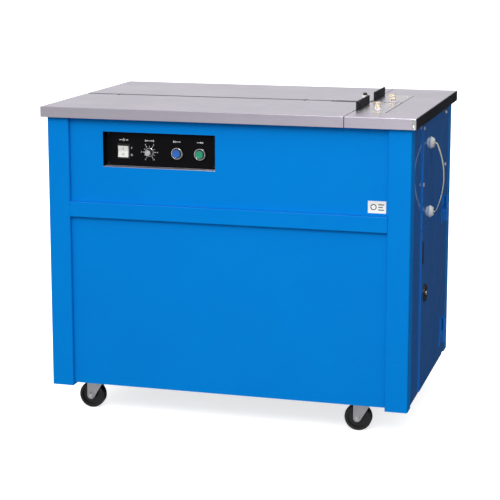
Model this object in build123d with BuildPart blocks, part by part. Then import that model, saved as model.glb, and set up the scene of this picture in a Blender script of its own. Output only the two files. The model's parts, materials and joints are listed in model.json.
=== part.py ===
"""Semi-automatic table strapping machine, in millimetres.

The cabinet stands on four swivel casters. +X is to the right, -Y is the front where the
operator stands, +Z is up. The origin is on the floor below the middle of the overall box.
"""
import os
from math import asin, cos, degrees, radians, sin

from build123d import *

os.makedirs("parts", exist_ok=True)

# ---------------------------------------------------------------- driving dimensions
TABLE_WIDTH = 895.0
TABLE_DEPTH = 616.0
TABLE_HEIGHT = 750.0
TABLE_SHEET = 2.0
TABLE_LIP = 25.0
LIP_SHEET = 1.5
TABLE_OVERHANG = 12.0
WHEEL_RADIUS = 32.5
WHEEL_HEADROOM = 5.0
FLOOR_CLEARANCE = 2 * WHEEL_RADIUS + WHEEL_HEADROOM

SHEET = 1.5
PANEL_RETURN = 12.0
PANEL_RECESS = 10.0
PANEL_GAP = 0.5
SKIRT_RISE = 6.0
POST_WIDTH = 53.0
POST_DEPTH = 45.0
POST_WALL = 2.0
POST_ROUND = 3.0
SEAT_GAP = 0.3
RUN_GAP = 0.1

TOP_BAR_WIDTH = 30.0
TOP_BAR_HEIGHT = 20.0
LID_POCKET_DEPTH = 7.0
LID_POCKET_MARGIN = 4.5
RAIL_HALF = 4.0
LID_GAP = 4.0
LID_AXIS_INSET = 3.0
MID_RAIL_HEIGHT = 36.0
MID_RAIL_DEPTH = 26.0
MID_RAIL_TOP = TABLE_HEIGHT - 227.0

STRAP_Y = -8.0
STRAP_WIDTH = 12.0
STRAP_THICKNESS = 0.8

# strap loop outside the right cover, seen from the front
NOZZLE_Y = STRAP_Y - 36.0
NOZZLE_UPPER_Z = TABLE_HEIGHT - 88.0
NOZZLE_LOWER_Z = TABLE_HEIGHT - 254.0
NOZZLE_LENGTH = 30.0
NOZZLE_WIDTH = 22.0
NOZZLE_REACH = 8.5
NOZZLE_BEVEL = 5.0
NOZZLE_SPIGOT_STEP = 3.0
NOZZLE_SPIGOT_OUT = 6.0
COVER_PROUD = 3.0
LOOP_REACH = 32.0

# ---------------------------------------------------------------- places worked out
CAB_WIDTH = TABLE_WIDTH - 2 * TABLE_OVERHANG
CAB_DEPTH = TABLE_DEPTH - 2 * TABLE_OVERHANG
RIGHT_REACH = CAB_WIDTH / 2 + COVER_PROUD + LOOP_REACH + STRAP_THICKNESS / 2
CX = (TABLE_WIDTH / 2 - RIGHT_REACH) / 2
LEFT = CX - CAB_WIDTH / 2
RIGHT = CX + CAB_WIDTH / 2
FRONT = -CAB_DEPTH / 2
BACK = CAB_DEPTH / 2
FRAME_TOP = TABLE_HEIGHT - TABLE_SHEET - SEAT_GAP
POST_TOP = FRAME_TOP - TOP_BAR_HEIGHT
PANEL_BOTTOM = FLOOR_CLEARANCE + SKIRT_RISE
PANEL_TOP = POST_TOP - PANEL_GAP
INNER_LEFT = LEFT + POST_WIDTH
INNER_RIGHT = RIGHT - POST_WIDTH
SIDE_SPAN = CAB_DEPTH - 2 * POST_DEPTH
RETURN_ROOM = PANEL_GAP + SHEET + SEAT_GAP


def box_between(x0, x1, y0, y1, z0, z1, mode=Mode.ADD):
    """A box given by its two opposite corners, for use inside a BuildPart block."""
    with Locations(((x0 + x1) / 2, (y0 + y1) / 2, (z0 + z1) / 2)):
        return Box(x1 - x0, y1 - y0, z1 - z0, mode=mode)


def save(piece, name):
    """Label a finished piece and write its STEP file."""
    piece.part.label = name
    export_step(piece.part, f"parts/{name}.step")


# ================================================================ casters
WHEEL_WIDTH = 26.0
WHEEL_HUB_RADIUS = 12.0
TREAD_ROUND = 7.0
TRAIL = 24.0
AXLE_RADIUS = 4.0
FORK_SHEET = 3.0
FORK_INNER = 14.5
FORK_EYE_RADIUS = 9.0
CROWN_REACH = 20.0
LEG_REACH = 10.0
CROWN_BOTTOM = 2 * WHEEL_RADIUS + 7.0
CROWN_TOP = CROWN_BOTTOM + 8.4
CASTER_PLATE_LENGTH = 72.0
CASTER_PLATE_WIDTH = 60.0
CASTER_PLATE_THICKNESS = 3.0
KING_PIN_RADIUS = 5.0
KING_NUT_RADIUS = 8.0
BASE_SHEET = 3.0
CASTER_HEIGHT = CROWN_TOP + 9.6
CASTER_ROOM_X = 8.2
CASTER_ROOM_Y = 21.5
CASTER_X = CAB_WIDTH / 2 - POST_WIDTH - RETURN_ROOM - BASE_SHEET - CASTER_ROOM_X - CASTER_PLATE_LENGTH / 2
CASTER_Y = CAB_DEPTH / 2 - PANEL_RECESS - SHEET - BASE_SHEET - CASTER_ROOM_Y - CASTER_PLATE_WIDTH / 2
RACE_RADIUS = 21.0
PLATE_ROUND = 4.0
NUT_HEIGHT = 4.0
BOLT_RADIUS = 4.0
BOLT_INSET_X = 9.0
BOLT_INSET_Y = 8.0
AXLE_NUT_RADIUS = AXLE_RADIUS + 3.0
WHEEL_DISH_DEPTH = 5.0
WHEEL_DISH_RIM = 2.0

corners = {
    "front_left": (-1, -1),
    "front_right": (1, -1),
    "rear_left": (-1, 1),
    "rear_right": (1, 1),
}

with BuildPart() as caster_plates:
    for side_x, side_y in corners.values():
        caster_x = CX + side_x * CASTER_X
        caster_y = side_y * CASTER_Y
        with BuildSketch(Plane.XY.offset(CASTER_HEIGHT - CASTER_PLATE_THICKNESS)):
            with Locations((caster_x, caster_y)):
                RectangleRounded(CASTER_PLATE_LENGTH, CASTER_PLATE_WIDTH, PLATE_ROUND)
        extrude(amount=CASTER_PLATE_THICKNESS)
        with BuildSketch(Plane.XY.offset(CROWN_TOP + SEAT_GAP)):
            with Locations((caster_x, caster_y)):
                Circle(RACE_RADIUS)
        extrude(amount=CASTER_HEIGHT - CASTER_PLATE_THICKNESS - CROWN_TOP - SEAT_GAP)
        with BuildSketch(Plane.XY.offset(CROWN_BOTTOM - SEAT_GAP)):
            with Locations((caster_x, caster_y)):
                Circle(KING_PIN_RADIUS)
        extrude(amount=CROWN_TOP + 2 * SEAT_GAP - CROWN_BOTTOM)
        with BuildSketch(Plane.XY.offset(CROWN_BOTTOM - NUT_HEIGHT)):
            with Locations((caster_x, caster_y)):
                RegularPolygon(KING_NUT_RADIUS, 6)
        extrude(amount=NUT_HEIGHT - SEAT_GAP)
        bolt_x = CASTER_PLATE_LENGTH / 2 - BOLT_INSET_X
        bolt_y = CASTER_PLATE_WIDTH / 2 - BOLT_INSET_Y
        with BuildSketch(Plane.XY.offset(CASTER_HEIGHT - CASTER_PLATE_THICKNESS - NUT_HEIGHT)):
            with Locations((caster_x, caster_y)):
                with GridLocations(2 * bolt_x, 2 * bolt_y, 2, 2):
                    RegularPolygon(BOLT_RADIUS, 6)
        extrude(amount=NUT_HEIGHT)
save(caster_plates, "caster_plates")

for corner, (side_x, side_y) in corners.items():
    swivel_x = CX + side_x * CASTER_X
    swivel_y = side_y * CASTER_Y
    axle_x = swivel_x - TRAIL
    leg_outer = FORK_INNER + FORK_SHEET

    with BuildPart() as caster_fork:
        crown_left = axle_x - FORK_EYE_RADIUS
        leg_right = swivel_x + LEG_REACH
        box_between(
            crown_left, swivel_x + CROWN_REACH,
            swivel_y - leg_outer, swivel_y + leg_outer, CROWN_BOTTOM, CROWN_TOP,
        )
        for leg in (-leg_outer, FORK_INNER):
            with BuildSketch(Plane.XZ.offset(-(swivel_y + leg + FORK_SHEET))):
                with Locations((axle_x, WHEEL_RADIUS)):
                    Circle(FORK_EYE_RADIUS)
                with Locations(((crown_left + leg_right) / 2, (CROWN_BOTTOM + CROWN_TOP) / 2)):
                    Rectangle(leg_right - crown_left, CROWN_TOP - CROWN_BOTTOM)
                make_hull()
            extrude(amount=FORK_SHEET)
        with BuildSketch(Plane.XY.offset(CROWN_BOTTOM)):
            with Locations((swivel_x, swivel_y)):
                Circle(KING_PIN_RADIUS + RUN_GAP)
        extrude(amount=CROWN_TOP - CROWN_BOTTOM, mode=Mode.SUBTRACT)
        with BuildSketch(Plane.XZ.offset(-(swivel_y + leg_outer))):
            with Locations((axle_x, WHEEL_RADIUS)):
                Circle(AXLE_RADIUS)
        extrude(amount=2 * leg_outer)
        for head in (-leg_outer - NUT_HEIGHT, leg_outer):
            with BuildSketch(Plane.XZ.offset(-(swivel_y + head + NUT_HEIGHT))):
                with Locations((axle_x, WHEEL_RADIUS)):
                    RegularPolygon(AXLE_NUT_RADIUS, 6)
            extrude(amount=NUT_HEIGHT)
    save(caster_fork, f"caster_fork_{corner}")

    with BuildPart() as caster_wheel:
        with BuildSketch(Plane.XZ.offset(-(swivel_y + WHEEL_WIDTH / 2))):
            with Locations((axle_x, WHEEL_RADIUS)):
                Circle(WHEEL_RADIUS)
        extrude(amount=WHEEL_WIDTH)
        rim = caster_wheel.edges().filter_by(GeomType.CIRCLE)
        fillet(rim, TREAD_ROUND)
        for hub in (-1, 1):
            hub_face = swivel_y + hub * (FORK_INNER - SEAT_GAP)
            dish_face = swivel_y + hub * WHEEL_WIDTH / 2
            with BuildSketch(Plane.XZ.offset(-max(dish_face, dish_face - hub * WHEEL_DISH_DEPTH))):
                with Locations((axle_x, WHEEL_RADIUS)):
                    Circle(WHEEL_RADIUS - TREAD_ROUND - WHEEL_DISH_RIM)
                    Circle(WHEEL_HUB_RADIUS, mode=Mode.SUBTRACT)
            extrude(amount=WHEEL_DISH_DEPTH, mode=Mode.SUBTRACT)
            hub_length = FORK_INNER - SEAT_GAP - WHEEL_WIDTH / 2 + WHEEL_DISH_DEPTH
            with BuildSketch(Plane.XZ.offset(-max(hub_face, hub_face - hub * hub_length))):
                with Locations((axle_x, WHEEL_RADIUS)):
                    Circle(WHEEL_HUB_RADIUS)
            extrude(amount=hub_length)
        with BuildSketch(Plane.XZ.offset(-(swivel_y + leg_outer))):
            with Locations((axle_x, WHEEL_RADIUS)):
                Circle(AXLE_RADIUS + RUN_GAP)
        extrude(amount=2 * leg_outer, mode=Mode.SUBTRACT)
    save(caster_wheel, f"caster_wheel_{corner}")

# ================================================================ frame
BASE_BOTTOM = PANEL_BOTTOM + 2.0
BASE_TOP = CASTER_HEIGHT + BASE_SHEET

with BuildPart() as base_frame:
    with BuildSketch(Plane.XY.offset(BASE_BOTTOM)) as base_outline:
        with Locations((CX, 0)):
            Rectangle(INNER_RIGHT - INNER_LEFT - 2 * RETURN_ROOM, CAB_DEPTH - 2 * (PANEL_RECESS + SHEET))
            Rectangle(CAB_WIDTH - 2 * SHEET, SIDE_SPAN - 2 * RETURN_ROOM)
    extrude(amount=BASE_TOP - BASE_BOTTOM)
    with BuildSketch(Plane.XY.offset(BASE_BOTTOM)):
        add(base_outline.sketch)
        offset(amount=-BASE_SHEET, kind=Kind.INTERSECTION)
    extrude(amount=CASTER_HEIGHT - BASE_BOTTOM, mode=Mode.SUBTRACT)
save(base_frame, "base_frame")

for corner, (side_x, side_y) in corners.items():
    post_x = CX + side_x * (CAB_WIDTH - POST_WIDTH) / 2
    post_y = side_y * (CAB_DEPTH - POST_DEPTH) / 2
    with BuildPart() as post:
        with BuildSketch(Plane.XY.offset(FLOOR_CLEARANCE)):
            with Locations((post_x, post_y)):
                RectangleRounded(POST_WIDTH, POST_DEPTH, POST_ROUND)
                RectangleRounded(
                    POST_WIDTH - 2 * POST_WALL, POST_DEPTH - 2 * POST_WALL,
                    POST_ROUND - POST_WALL, mode=Mode.SUBTRACT,
                )
        extrude(amount=POST_TOP - FLOOR_CLEARANCE)
    save(post, f"post_{corner}")

with BuildPart() as top_frame:
    with BuildSketch(Plane.XY.offset(POST_TOP)):
        with Locations((CX, 0)):
            Rectangle(CAB_WIDTH, CAB_DEPTH)
            Rectangle(CAB_WIDTH - 2 * TOP_BAR_WIDTH, CAB_DEPTH - 2 * TOP_BAR_WIDTH, mode=Mode.SUBTRACT)
    extrude(amount=TOP_BAR_HEIGHT)
    # room for the lids' inner edges, which dip beside the centre rail as the lids open
    pocket_half = RAIL_HALF + LID_GAP + LID_AXIS_INSET + LID_POCKET_MARGIN
    box_between(
        LEFT - 1, LEFT + TOP_BAR_WIDTH + 1, STRAP_Y - pocket_half, STRAP_Y + pocket_half,
        FRAME_TOP - LID_POCKET_DEPTH, FRAME_TOP + 1, mode=Mode.SUBTRACT,
    )
save(top_frame, "top_frame")

# ---------------------------------------------------------------- front
CONTROL_LEFT = INNER_LEFT + 82.5
CONTROL_RIGHT = CONTROL_LEFT + 276.0
CONTROL_TOP = TABLE_HEIGHT - 57.0
CONTROL_BOTTOM = CONTROL_TOP - 84.0
CONTROL_DEPTH = 20.0
CONTROL_BOX_DEPTH = 72.0
CONTROL_BOX_WALL = 2.0
FASCIA_SHEET = 2.0
PANEL_FACE = FRONT + PANEL_RECESS
FASCIA_FACE = PANEL_FACE + CONTROL_DEPTH

with BuildPart() as front_upper_panel:
    box_between(
        INNER_LEFT + PANEL_GAP, INNER_RIGHT - PANEL_GAP,
        PANEL_FACE, PANEL_FACE + PANEL_RETURN, MID_RAIL_TOP + PANEL_GAP, PANEL_TOP,
    )
    back_face = front_upper_panel.faces().sort_by(Axis.Y)[-1]
    offset(amount=-SHEET, openings=back_face, kind=Kind.INTERSECTION)
    box_between(
        CONTROL_LEFT, CONTROL_RIGHT, PANEL_FACE - 1, PANEL_FACE + SHEET + 1,
        CONTROL_BOTTOM, CONTROL_TOP, mode=Mode.SUBTRACT,
    )
save(front_upper_panel, "front_upper_panel")

with BuildPart() as front_lower_panel:
    box_between(
        INNER_LEFT + PANEL_GAP, INNER_RIGHT - PANEL_GAP, PANEL_FACE, PANEL_FACE + PANEL_RETURN,
        PANEL_BOTTOM, MID_RAIL_TOP - MID_RAIL_HEIGHT - PANEL_GAP,
    )
    back_face = front_lower_panel.faces().sort_by(Axis.Y)[-1]
    offset(amount=-SHEET, openings=back_face, kind=Kind.INTERSECTION)
    # the lower return is open so that the base frame's edge can stand behind the sheet
    box_between(
        INNER_LEFT, INNER_RIGHT, PANEL_FACE + SHEET, PANEL_FACE + PANEL_RETURN + 1,
        PANEL_BOTTOM - 1, PANEL_BOTTOM + SHEET, mode=Mode.SUBTRACT,
    )
save(front_lower_panel, "front_lower_panel")

with BuildPart() as mid_rail:
    box_between(
        INNER_LEFT, INNER_RIGHT, FRONT, FRONT + MID_RAIL_DEPTH,
        MID_RAIL_TOP - MID_RAIL_HEIGHT, MID_RAIL_TOP,
    )
    box_between(
        INNER_LEFT, INNER_RIGHT, FRONT + SHEET, FRONT + MID_RAIL_DEPTH - SHEET,
        MID_RAIL_TOP - MID_RAIL_HEIGHT + SHEET, MID_RAIL_TOP - SHEET, mode=Mode.SUBTRACT,
    )
    front_edges = mid_rail.edges().filter_by(Axis.X).group_by(Axis.Y)[0]
    fillet(front_edges, SHEET - 0.2)
save(mid_rail, "mid_rail")

# ---------------------------------------------------------------- left, rear and right sides
LOUVRE_COUNT = 9
LOUVRE_LENGTH = 120.0
LOUVRE_SLOT = 5.0
LOUVRE_PITCH = 14.0
LOUVRE_X = INNER_LEFT + 182.5
LOUVRE_Z = TABLE_HEIGHT - 190.0
INLET_X = INNER_LEFT + 62.5
INLET_Z = PANEL_BOTTOM + 74.0
INLET_THREAD_RADIUS = 10.0

with BuildPart() as left_panel:
    box_between(
        LEFT, LEFT + PANEL_RETURN, -SIDE_SPAN / 2 + PANEL_GAP, SIDE_SPAN / 2 - PANEL_GAP,
        PANEL_BOTTOM, PANEL_TOP,
    )
    inner_face = left_panel.faces().sort_by(Axis.X)[-1]
    offset(amount=-SHEET, openings=inner_face, kind=Kind.INTERSECTION)
    box_between(
        LEFT + SHEET, LEFT + PANEL_RETURN + 1, -SIDE_SPAN / 2, SIDE_SPAN / 2,
        PANEL_BOTTOM - 1, PANEL_BOTTOM + SHEET, mode=Mode.SUBTRACT,
    )
    with BuildSketch(Plane.YZ.offset(LEFT - 1)):
        with Locations((0, LOUVRE_Z)):
            with GridLocations(0, LOUVRE_PITCH, 1, LOUVRE_COUNT):
                SlotOverall(LOUVRE_LENGTH, LOUVRE_SLOT)
    extrude(amount=SHEET + 2, mode=Mode.SUBTRACT)
save(left_panel, "left_panel")

with BuildPart() as rear_panel:
    box_between(
        INNER_LEFT + PANEL_GAP, INNER_RIGHT - PANEL_GAP,
        -PANEL_FACE - PANEL_RETURN, -PANEL_FACE, PANEL_BOTTOM, PANEL_TOP,
    )
    inner_face = rear_panel.faces().sort_by(Axis.Y)[0]
    offset(amount=-SHEET, openings=inner_face, kind=Kind.INTERSECTION)
    box_between(
        INNER_LEFT, INNER_RIGHT, -PANEL_FACE - PANEL_RETURN - 1, -PANEL_FACE - SHEET,
        PANEL_BOTTOM - 1, PANEL_BOTTOM + SHEET, mode=Mode.SUBTRACT,
    )
    with BuildSketch(Plane.XZ.offset(PANEL_FACE + SHEET + 1)):
        for louvre_x in (LOUVRE_X, 2 * CX - LOUVRE_X):
            with Locations((louvre_x, LOUVRE_Z)):
                with GridLocations(0, LOUVRE_PITCH, 1, LOUVRE_COUNT):
                    SlotOverall(LOUVRE_LENGTH, LOUVRE_SLOT)
        with Locations((INLET_X, INLET_Z)):
            Circle(INLET_THREAD_RADIUS + RUN_GAP)
    extrude(amount=-SHEET - 2, mode=Mode.SUBTRACT)
save(rear_panel, "rear_panel")

GLAND_NUT_RADIUS = 13.0
GLAND_NUT_LENGTH = 5.0
GLAND_DOME_LENGTH = 12.0
GLAND_BORE_RADIUS = 4.5
GLAND_THREAD_OUT = 10.0
GLAND_DOME_RADIUS = INLET_THREAD_RADIUS + 1.0
GLAND_DOME_TAPER = 12

with BuildPart() as cable_gland:
    with BuildSketch(Plane.XZ.offset(PANEL_FACE)):
        with Locations((INLET_X, INLET_Z)):
            RegularPolygon(GLAND_NUT_RADIUS, 6)
    extrude(amount=-GLAND_NUT_LENGTH)
    with BuildSketch(Plane.XZ.offset(PANEL_FACE - GLAND_NUT_LENGTH)):
        with Locations((INLET_X, INLET_Z)):
            Circle(GLAND_DOME_RADIUS)
    extrude(amount=-GLAND_DOME_LENGTH, taper=GLAND_DOME_TAPER)
    with BuildSketch(Plane.XZ.offset(PANEL_FACE)):
        with Locations((INLET_X, INLET_Z)):
            Circle(INLET_THREAD_RADIUS)
    extrude(amount=SHEET + GLAND_THREAD_OUT)
    with BuildSketch(Plane.XZ.offset(PANEL_FACE + SHEET)):
        with Locations((INLET_X, INLET_Z)):
            RegularPolygon(GLAND_NUT_RADIUS, 6)
    extrude(amount=GLAND_NUT_LENGTH)
    bore_start = SHEET + GLAND_THREAD_OUT + 1
    with BuildSketch(Plane.XZ.offset(PANEL_FACE + bore_start)):
        with Locations((INLET_X, INLET_Z)):
            Circle(GLAND_BORE_RADIUS)
    extrude(amount=-bore_start - GLAND_NUT_LENGTH - GLAND_DOME_LENGTH - 1, mode=Mode.SUBTRACT)
save(cable_gland, "cable_gland")

DOOR_FRONT = FRONT + 146.0
DOOR_BACK = BACK - 101.0
COVER_TOP = TABLE_HEIGHT - 28.0
COVER_BOTTOM = COVER_TOP - 252.0
DOOR_TOP = COVER_BOTTOM - 3.0
DOOR_BOTTOM = PANEL_BOTTOM + 2.0
WINDOW_INSET = 10.0
HEM_GAP = 2.0
HINGE_RADIUS = 5.0
HINGE_PIN_RADIUS = 2.5
HINGE_STANDOFF = 6.5
HINGE_REACH = 8.0
HINGE_HALF = 32.0
HINGE_SPLIT_GAP = 0.4
HINGE_LEAF = 2.0
HINGE_LEAF_LENGTH = 55.0
HINGE_FOOT_LENGTH = 32.0
HINGE_FOOT_RISE = 3.0
HINGE_FOOT_DROP = 2.0
HINGE_FOOT_GAP = 2.0
HINGE_PIN_RISE = 5.0
HINGE_SPLITS = (DOOR_TOP - 6.0, DOOR_BOTTOM + 63.0)
HINGE_X = RIGHT + HINGE_STANDOFF
HINGE_Y = DOOR_BACK + HINGE_REACH

SCREW_RADIUS = 5.0
SCREW_HEAD = 2.5
SCREW_SHANK_RADIUS = 2.5
COVER_SCREW_Z = (COVER_TOP - 13.0, COVER_TOP - 146.0)
COVER_SCREW_INSET = 6.0
SCREW_HEAD_TAPER = 20
SCREW_TIP = 4.0
SCREW_SLOT_LENGTH = 7.0
SCREW_SLOT_WIDTH = 1.2
SCREW_SLOT_DEPTH = 1.0

with BuildPart() as right_side_frame:
    box_between(
        RIGHT - PANEL_RETURN, RIGHT, -SIDE_SPAN / 2 + PANEL_GAP, SIDE_SPAN / 2 - PANEL_GAP,
        PANEL_BOTTOM, PANEL_TOP,
    )
    inner_face = right_side_frame.faces().sort_by(Axis.X)[0]
    offset(amount=-SHEET, openings=inner_face, kind=Kind.INTERSECTION)
    box_between(
        RIGHT - PANEL_RETURN - 1, RIGHT - SHEET, -SIDE_SPAN / 2, SIDE_SPAN / 2,
        PANEL_BOTTOM - 1, PANEL_BOTTOM + SHEET, mode=Mode.SUBTRACT,
    )
    for window_bottom, window_top in ((DOOR_BOTTOM, DOOR_TOP), (COVER_BOTTOM, COVER_TOP)):
        box_between(
            RIGHT - SHEET - 1, RIGHT + 1, DOOR_FRONT + WINDOW_INSET, DOOR_BACK - WINDOW_INSET,
            window_bottom + WINDOW_INSET, window_top - WINDOW_INSET, mode=Mode.SUBTRACT,
        )
    for split in HINGE_SPLITS:
        with BuildSketch(Plane.XY.offset(split + HINGE_SPLIT_GAP)):
            with Locations((HINGE_X, HINGE_Y)):
                Circle(HINGE_RADIUS)
        extrude(amount=HINGE_HALF)
        box_between(
            RIGHT, RIGHT + HINGE_STANDOFF - HINGE_FOOT_GAP, HINGE_Y - 1, HINGE_Y + HINGE_FOOT_LENGTH,
            split + HINGE_FOOT_RISE, split + HINGE_HALF - HINGE_FOOT_DROP,
        )
        with BuildSketch(Plane.XY.offset(split - HINGE_HALF)):
            with Locations((HINGE_X, HINGE_Y)):
                Circle(HINGE_PIN_RADIUS)
        extrude(amount=HINGE_HALF + HINGE_PIN_RISE)
    with BuildSketch(Plane.YZ.offset(RIGHT - SHEET - 1)):
        for screw_z in COVER_SCREW_Z:
            with Locations(
                (DOOR_FRONT + COVER_SCREW_INSET, screw_z), (DOOR_BACK - COVER_SCREW_INSET, screw_z),
            ):
                Circle(SCREW_SHANK_RADIUS + RUN_GAP)
    extrude(amount=SHEET + 2, mode=Mode.SUBTRACT)
save(right_side_frame, "right_side_frame")

with BuildPart() as side_cover:
    box_between(RIGHT, RIGHT + COVER_PROUD, DOOR_FRONT, DOOR_BACK, COVER_BOTTOM, COVER_TOP)
    outer_edges = side_cover.edges().filter_by(Axis.Y).group_by(Axis.X)[-1]
    outer_edges += side_cover.edges().filter_by(Axis.Z).group_by(Axis.X)[-1]
    fillet(outer_edges, SHEET - 0.3)
    box_between(
        RIGHT - 1, RIGHT + COVER_PROUD - SHEET, DOOR_FRONT + WINDOW_INSET + HEM_GAP,
        DOOR_BACK - WINDOW_INSET - HEM_GAP, COVER_BOTTOM + WINDOW_INSET, COVER_TOP - WINDOW_INSET,
        mode=Mode.SUBTRACT,
    )
    with BuildSketch(Plane.YZ.offset(RIGHT - 1)):
        for screw_z in COVER_SCREW_Z:
            with Locations(
                (DOOR_FRONT + COVER_SCREW_INSET, screw_z), (DOOR_BACK - COVER_SCREW_INSET, screw_z),
            ):
                Circle(SCREW_SHANK_RADIUS + RUN_GAP)
        for nozzle_z in (NOZZLE_UPPER_Z, NOZZLE_LOWER_Z):
            with Locations((NOZZLE_Y, nozzle_z)):
                Rectangle(NOZZLE_WIDTH - 2 * NOZZLE_SPIGOT_STEP, NOZZLE_LENGTH / 2)
    extrude(amount=COVER_PROUD + 2, mode=Mode.SUBTRACT)
save(side_cover, "side_cover")

with BuildPart() as cover_screws:
    for screw_z in COVER_SCREW_Z:
        for screw_y in (DOOR_FRONT + COVER_SCREW_INSET, DOOR_BACK - COVER_SCREW_INSET):
            with BuildSketch(Plane.YZ.offset(RIGHT + COVER_PROUD)):
                with Locations((screw_y, screw_z)):
                    Circle(SCREW_RADIUS)
            extrude(amount=SCREW_HEAD, taper=SCREW_HEAD_TAPER)
            with BuildSketch(Plane.YZ.offset(RIGHT + COVER_PROUD)):
                with Locations((screw_y, screw_z)):
                    Circle(SCREW_SHANK_RADIUS)
            extrude(amount=-COVER_PROUD - SHEET - SCREW_TIP)
            with BuildSketch(Plane.YZ.offset(RIGHT + COVER_PROUD + SCREW_HEAD - SCREW_SLOT_DEPTH)):
                with Locations((screw_y, screw_z)):
                    Rectangle(SCREW_SLOT_WIDTH, SCREW_SLOT_LENGTH)
                    Rectangle(SCREW_SLOT_LENGTH, SCREW_SLOT_WIDTH)
            extrude(amount=SCREW_SLOT_DEPTH + 1, mode=Mode.SUBTRACT)
save(cover_screws, "cover_screws")

SLOT_CLEAR = 0.8
for name, nozzle_z in (("strap_nozzle_upper", NOZZLE_UPPER_Z), ("strap_nozzle_lower", NOZZLE_LOWER_Z)):
    with BuildPart() as nozzle:
        for height, inset in ((0, 0), (NOZZLE_REACH, NOZZLE_BEVEL)):
            with BuildSketch(Plane.YZ.offset(RIGHT + COVER_PROUD + height)):
                with Locations((NOZZLE_Y, nozzle_z)):
                    Ellipse(NOZZLE_WIDTH / 2 - inset / 2, NOZZLE_LENGTH / 2 - inset)
        loft()
        with BuildSketch(Plane.YZ.offset(RIGHT + COVER_PROUD)):
            with Locations((NOZZLE_Y, nozzle_z)):
                Rectangle(
                    NOZZLE_WIDTH - 2 * NOZZLE_SPIGOT_STEP - 2 * RUN_GAP, NOZZLE_LENGTH / 2 - 2 * RUN_GAP,
                )
        extrude(amount=-COVER_PROUD - NOZZLE_SPIGOT_OUT)
        slot_start = NOZZLE_SPIGOT_OUT + 1
        with BuildSketch(Plane.YZ.offset(RIGHT - slot_start)):
            with Locations((NOZZLE_Y, nozzle_z)):
                Rectangle(STRAP_WIDTH + 2 * SLOT_CLEAR, STRAP_THICKNESS + 2 * SLOT_CLEAR)
        extrude(amount=slot_start + COVER_PROUD + NOZZLE_REACH + 1, mode=Mode.SUBTRACT)
    save(nozzle, name)

LOOP_INSIDE = 14.0
LOOP_KNEE = NOZZLE_REACH + 1.0
KNEE_RADIUS = 6.0

with BuildPart() as strap_loop:
    face_x = RIGHT + COVER_PROUD
    knee_x = face_x + LOOP_KNEE
    bow_middle_z = (NOZZLE_UPPER_Z + NOZZLE_LOWER_Z) / 2
    knee_rise = NOZZLE_UPPER_Z - KNEE_RADIUS - bow_middle_z
    # the bow's radius that meets both knees smoothly and reaches just as far out as the loop
    bulge = LOOP_REACH - LOOP_KNEE
    bow_radius = (bulge**2 + knee_rise**2 - KNEE_RADIUS**2) / (2 * (bulge - KNEE_RADIUS))
    bow_turn = degrees(asin(knee_rise / (bow_radius - KNEE_RADIUS)))
    with BuildLine(Plane.XZ.offset(-NOZZLE_Y)) as strap_path:
        Line((face_x - LOOP_INSIDE, NOZZLE_UPPER_Z), (knee_x, NOZZLE_UPPER_Z))
        CenterArc((knee_x, NOZZLE_UPPER_Z - KNEE_RADIUS), KNEE_RADIUS, 90, bow_turn - 90)
        CenterArc((face_x + LOOP_REACH - bow_radius, bow_middle_z), bow_radius, bow_turn, -2 * bow_turn)
        CenterArc((knee_x, NOZZLE_LOWER_Z + KNEE_RADIUS), KNEE_RADIUS, -bow_turn, bow_turn - 90)
        Line((knee_x, NOZZLE_LOWER_Z), (face_x - LOOP_INSIDE, NOZZLE_LOWER_Z))
    with BuildSketch(Plane.YZ.offset(face_x - LOOP_INSIDE)):
        with Locations((NOZZLE_Y, NOZZLE_UPPER_Z)):
            Rectangle(STRAP_WIDTH, STRAP_THICKNESS)
    sweep(path=strap_path.wires()[0])
save(strap_loop, "strap_loop")

LATCH_Y = DOOR_FRONT + 48.0
LATCH_Z = DOOR_TOP - 157.0
LATCH_SHAFT_RADIUS = 8.0
LATCH_COLLAR_RADIUS = 21.0
LATCH_COLLAR_HEIGHT = 4.0
LATCH_TONGUE_WIDTH = 16.0
LATCH_TONGUE_THICKNESS = 3.0
LATCH_TONGUE_DROP = 6.0
LATCH_OVERLAP = 12.0
LATCH_FLOOR = 1.0
LATCH_POCKET_LENGTH = 26.0
LATCH_POCKET_WIDTH = 9.0
LATCH_POCKET_OFFSET = 9.0

with BuildPart() as side_door:
    box_between(RIGHT, RIGHT + COVER_PROUD, DOOR_FRONT, DOOR_BACK, DOOR_BOTTOM, DOOR_TOP)
    outer_edges = side_door.edges().filter_by(Axis.Y).group_by(Axis.X)[-1]
    outer_edges += side_door.edges().filter_by(Axis.Z).group_by(Axis.X)[-1]
    fillet(outer_edges, SHEET - 0.3)
    box_between(
        RIGHT - 1, RIGHT + COVER_PROUD - SHEET, DOOR_FRONT + WINDOW_INSET + HEM_GAP,
        DOOR_BACK - WINDOW_INSET - HEM_GAP, DOOR_BOTTOM + WINDOW_INSET, DOOR_TOP - WINDOW_INSET,
        mode=Mode.SUBTRACT,
    )
    with BuildSketch(Plane.YZ.offset(RIGHT - 1)):
        with Locations((LATCH_Y, LATCH_Z)):
            Circle(LATCH_SHAFT_RADIUS + RUN_GAP)
    extrude(amount=COVER_PROUD + 2, mode=Mode.SUBTRACT)
    for split in HINGE_SPLITS:
        box_between(
            RIGHT + COVER_PROUD, RIGHT + COVER_PROUD + HINGE_LEAF, HINGE_Y - HINGE_LEAF_LENGTH,
            HINGE_Y, split - HINGE_HALF, split,
        )
        with BuildSketch(Plane.XY.offset(split - HINGE_HALF)):
            with Locations((HINGE_X, HINGE_Y)):
                Circle(HINGE_RADIUS)
        extrude(amount=HINGE_HALF)
        with BuildSketch(Plane.XY.offset(split - HINGE_HALF - 1)):
            with Locations((HINGE_X, HINGE_Y)):
                Circle(HINGE_PIN_RADIUS + RUN_GAP)
        extrude(amount=HINGE_HALF + 2, mode=Mode.SUBTRACT)
save(side_door, "side_door")

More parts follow.
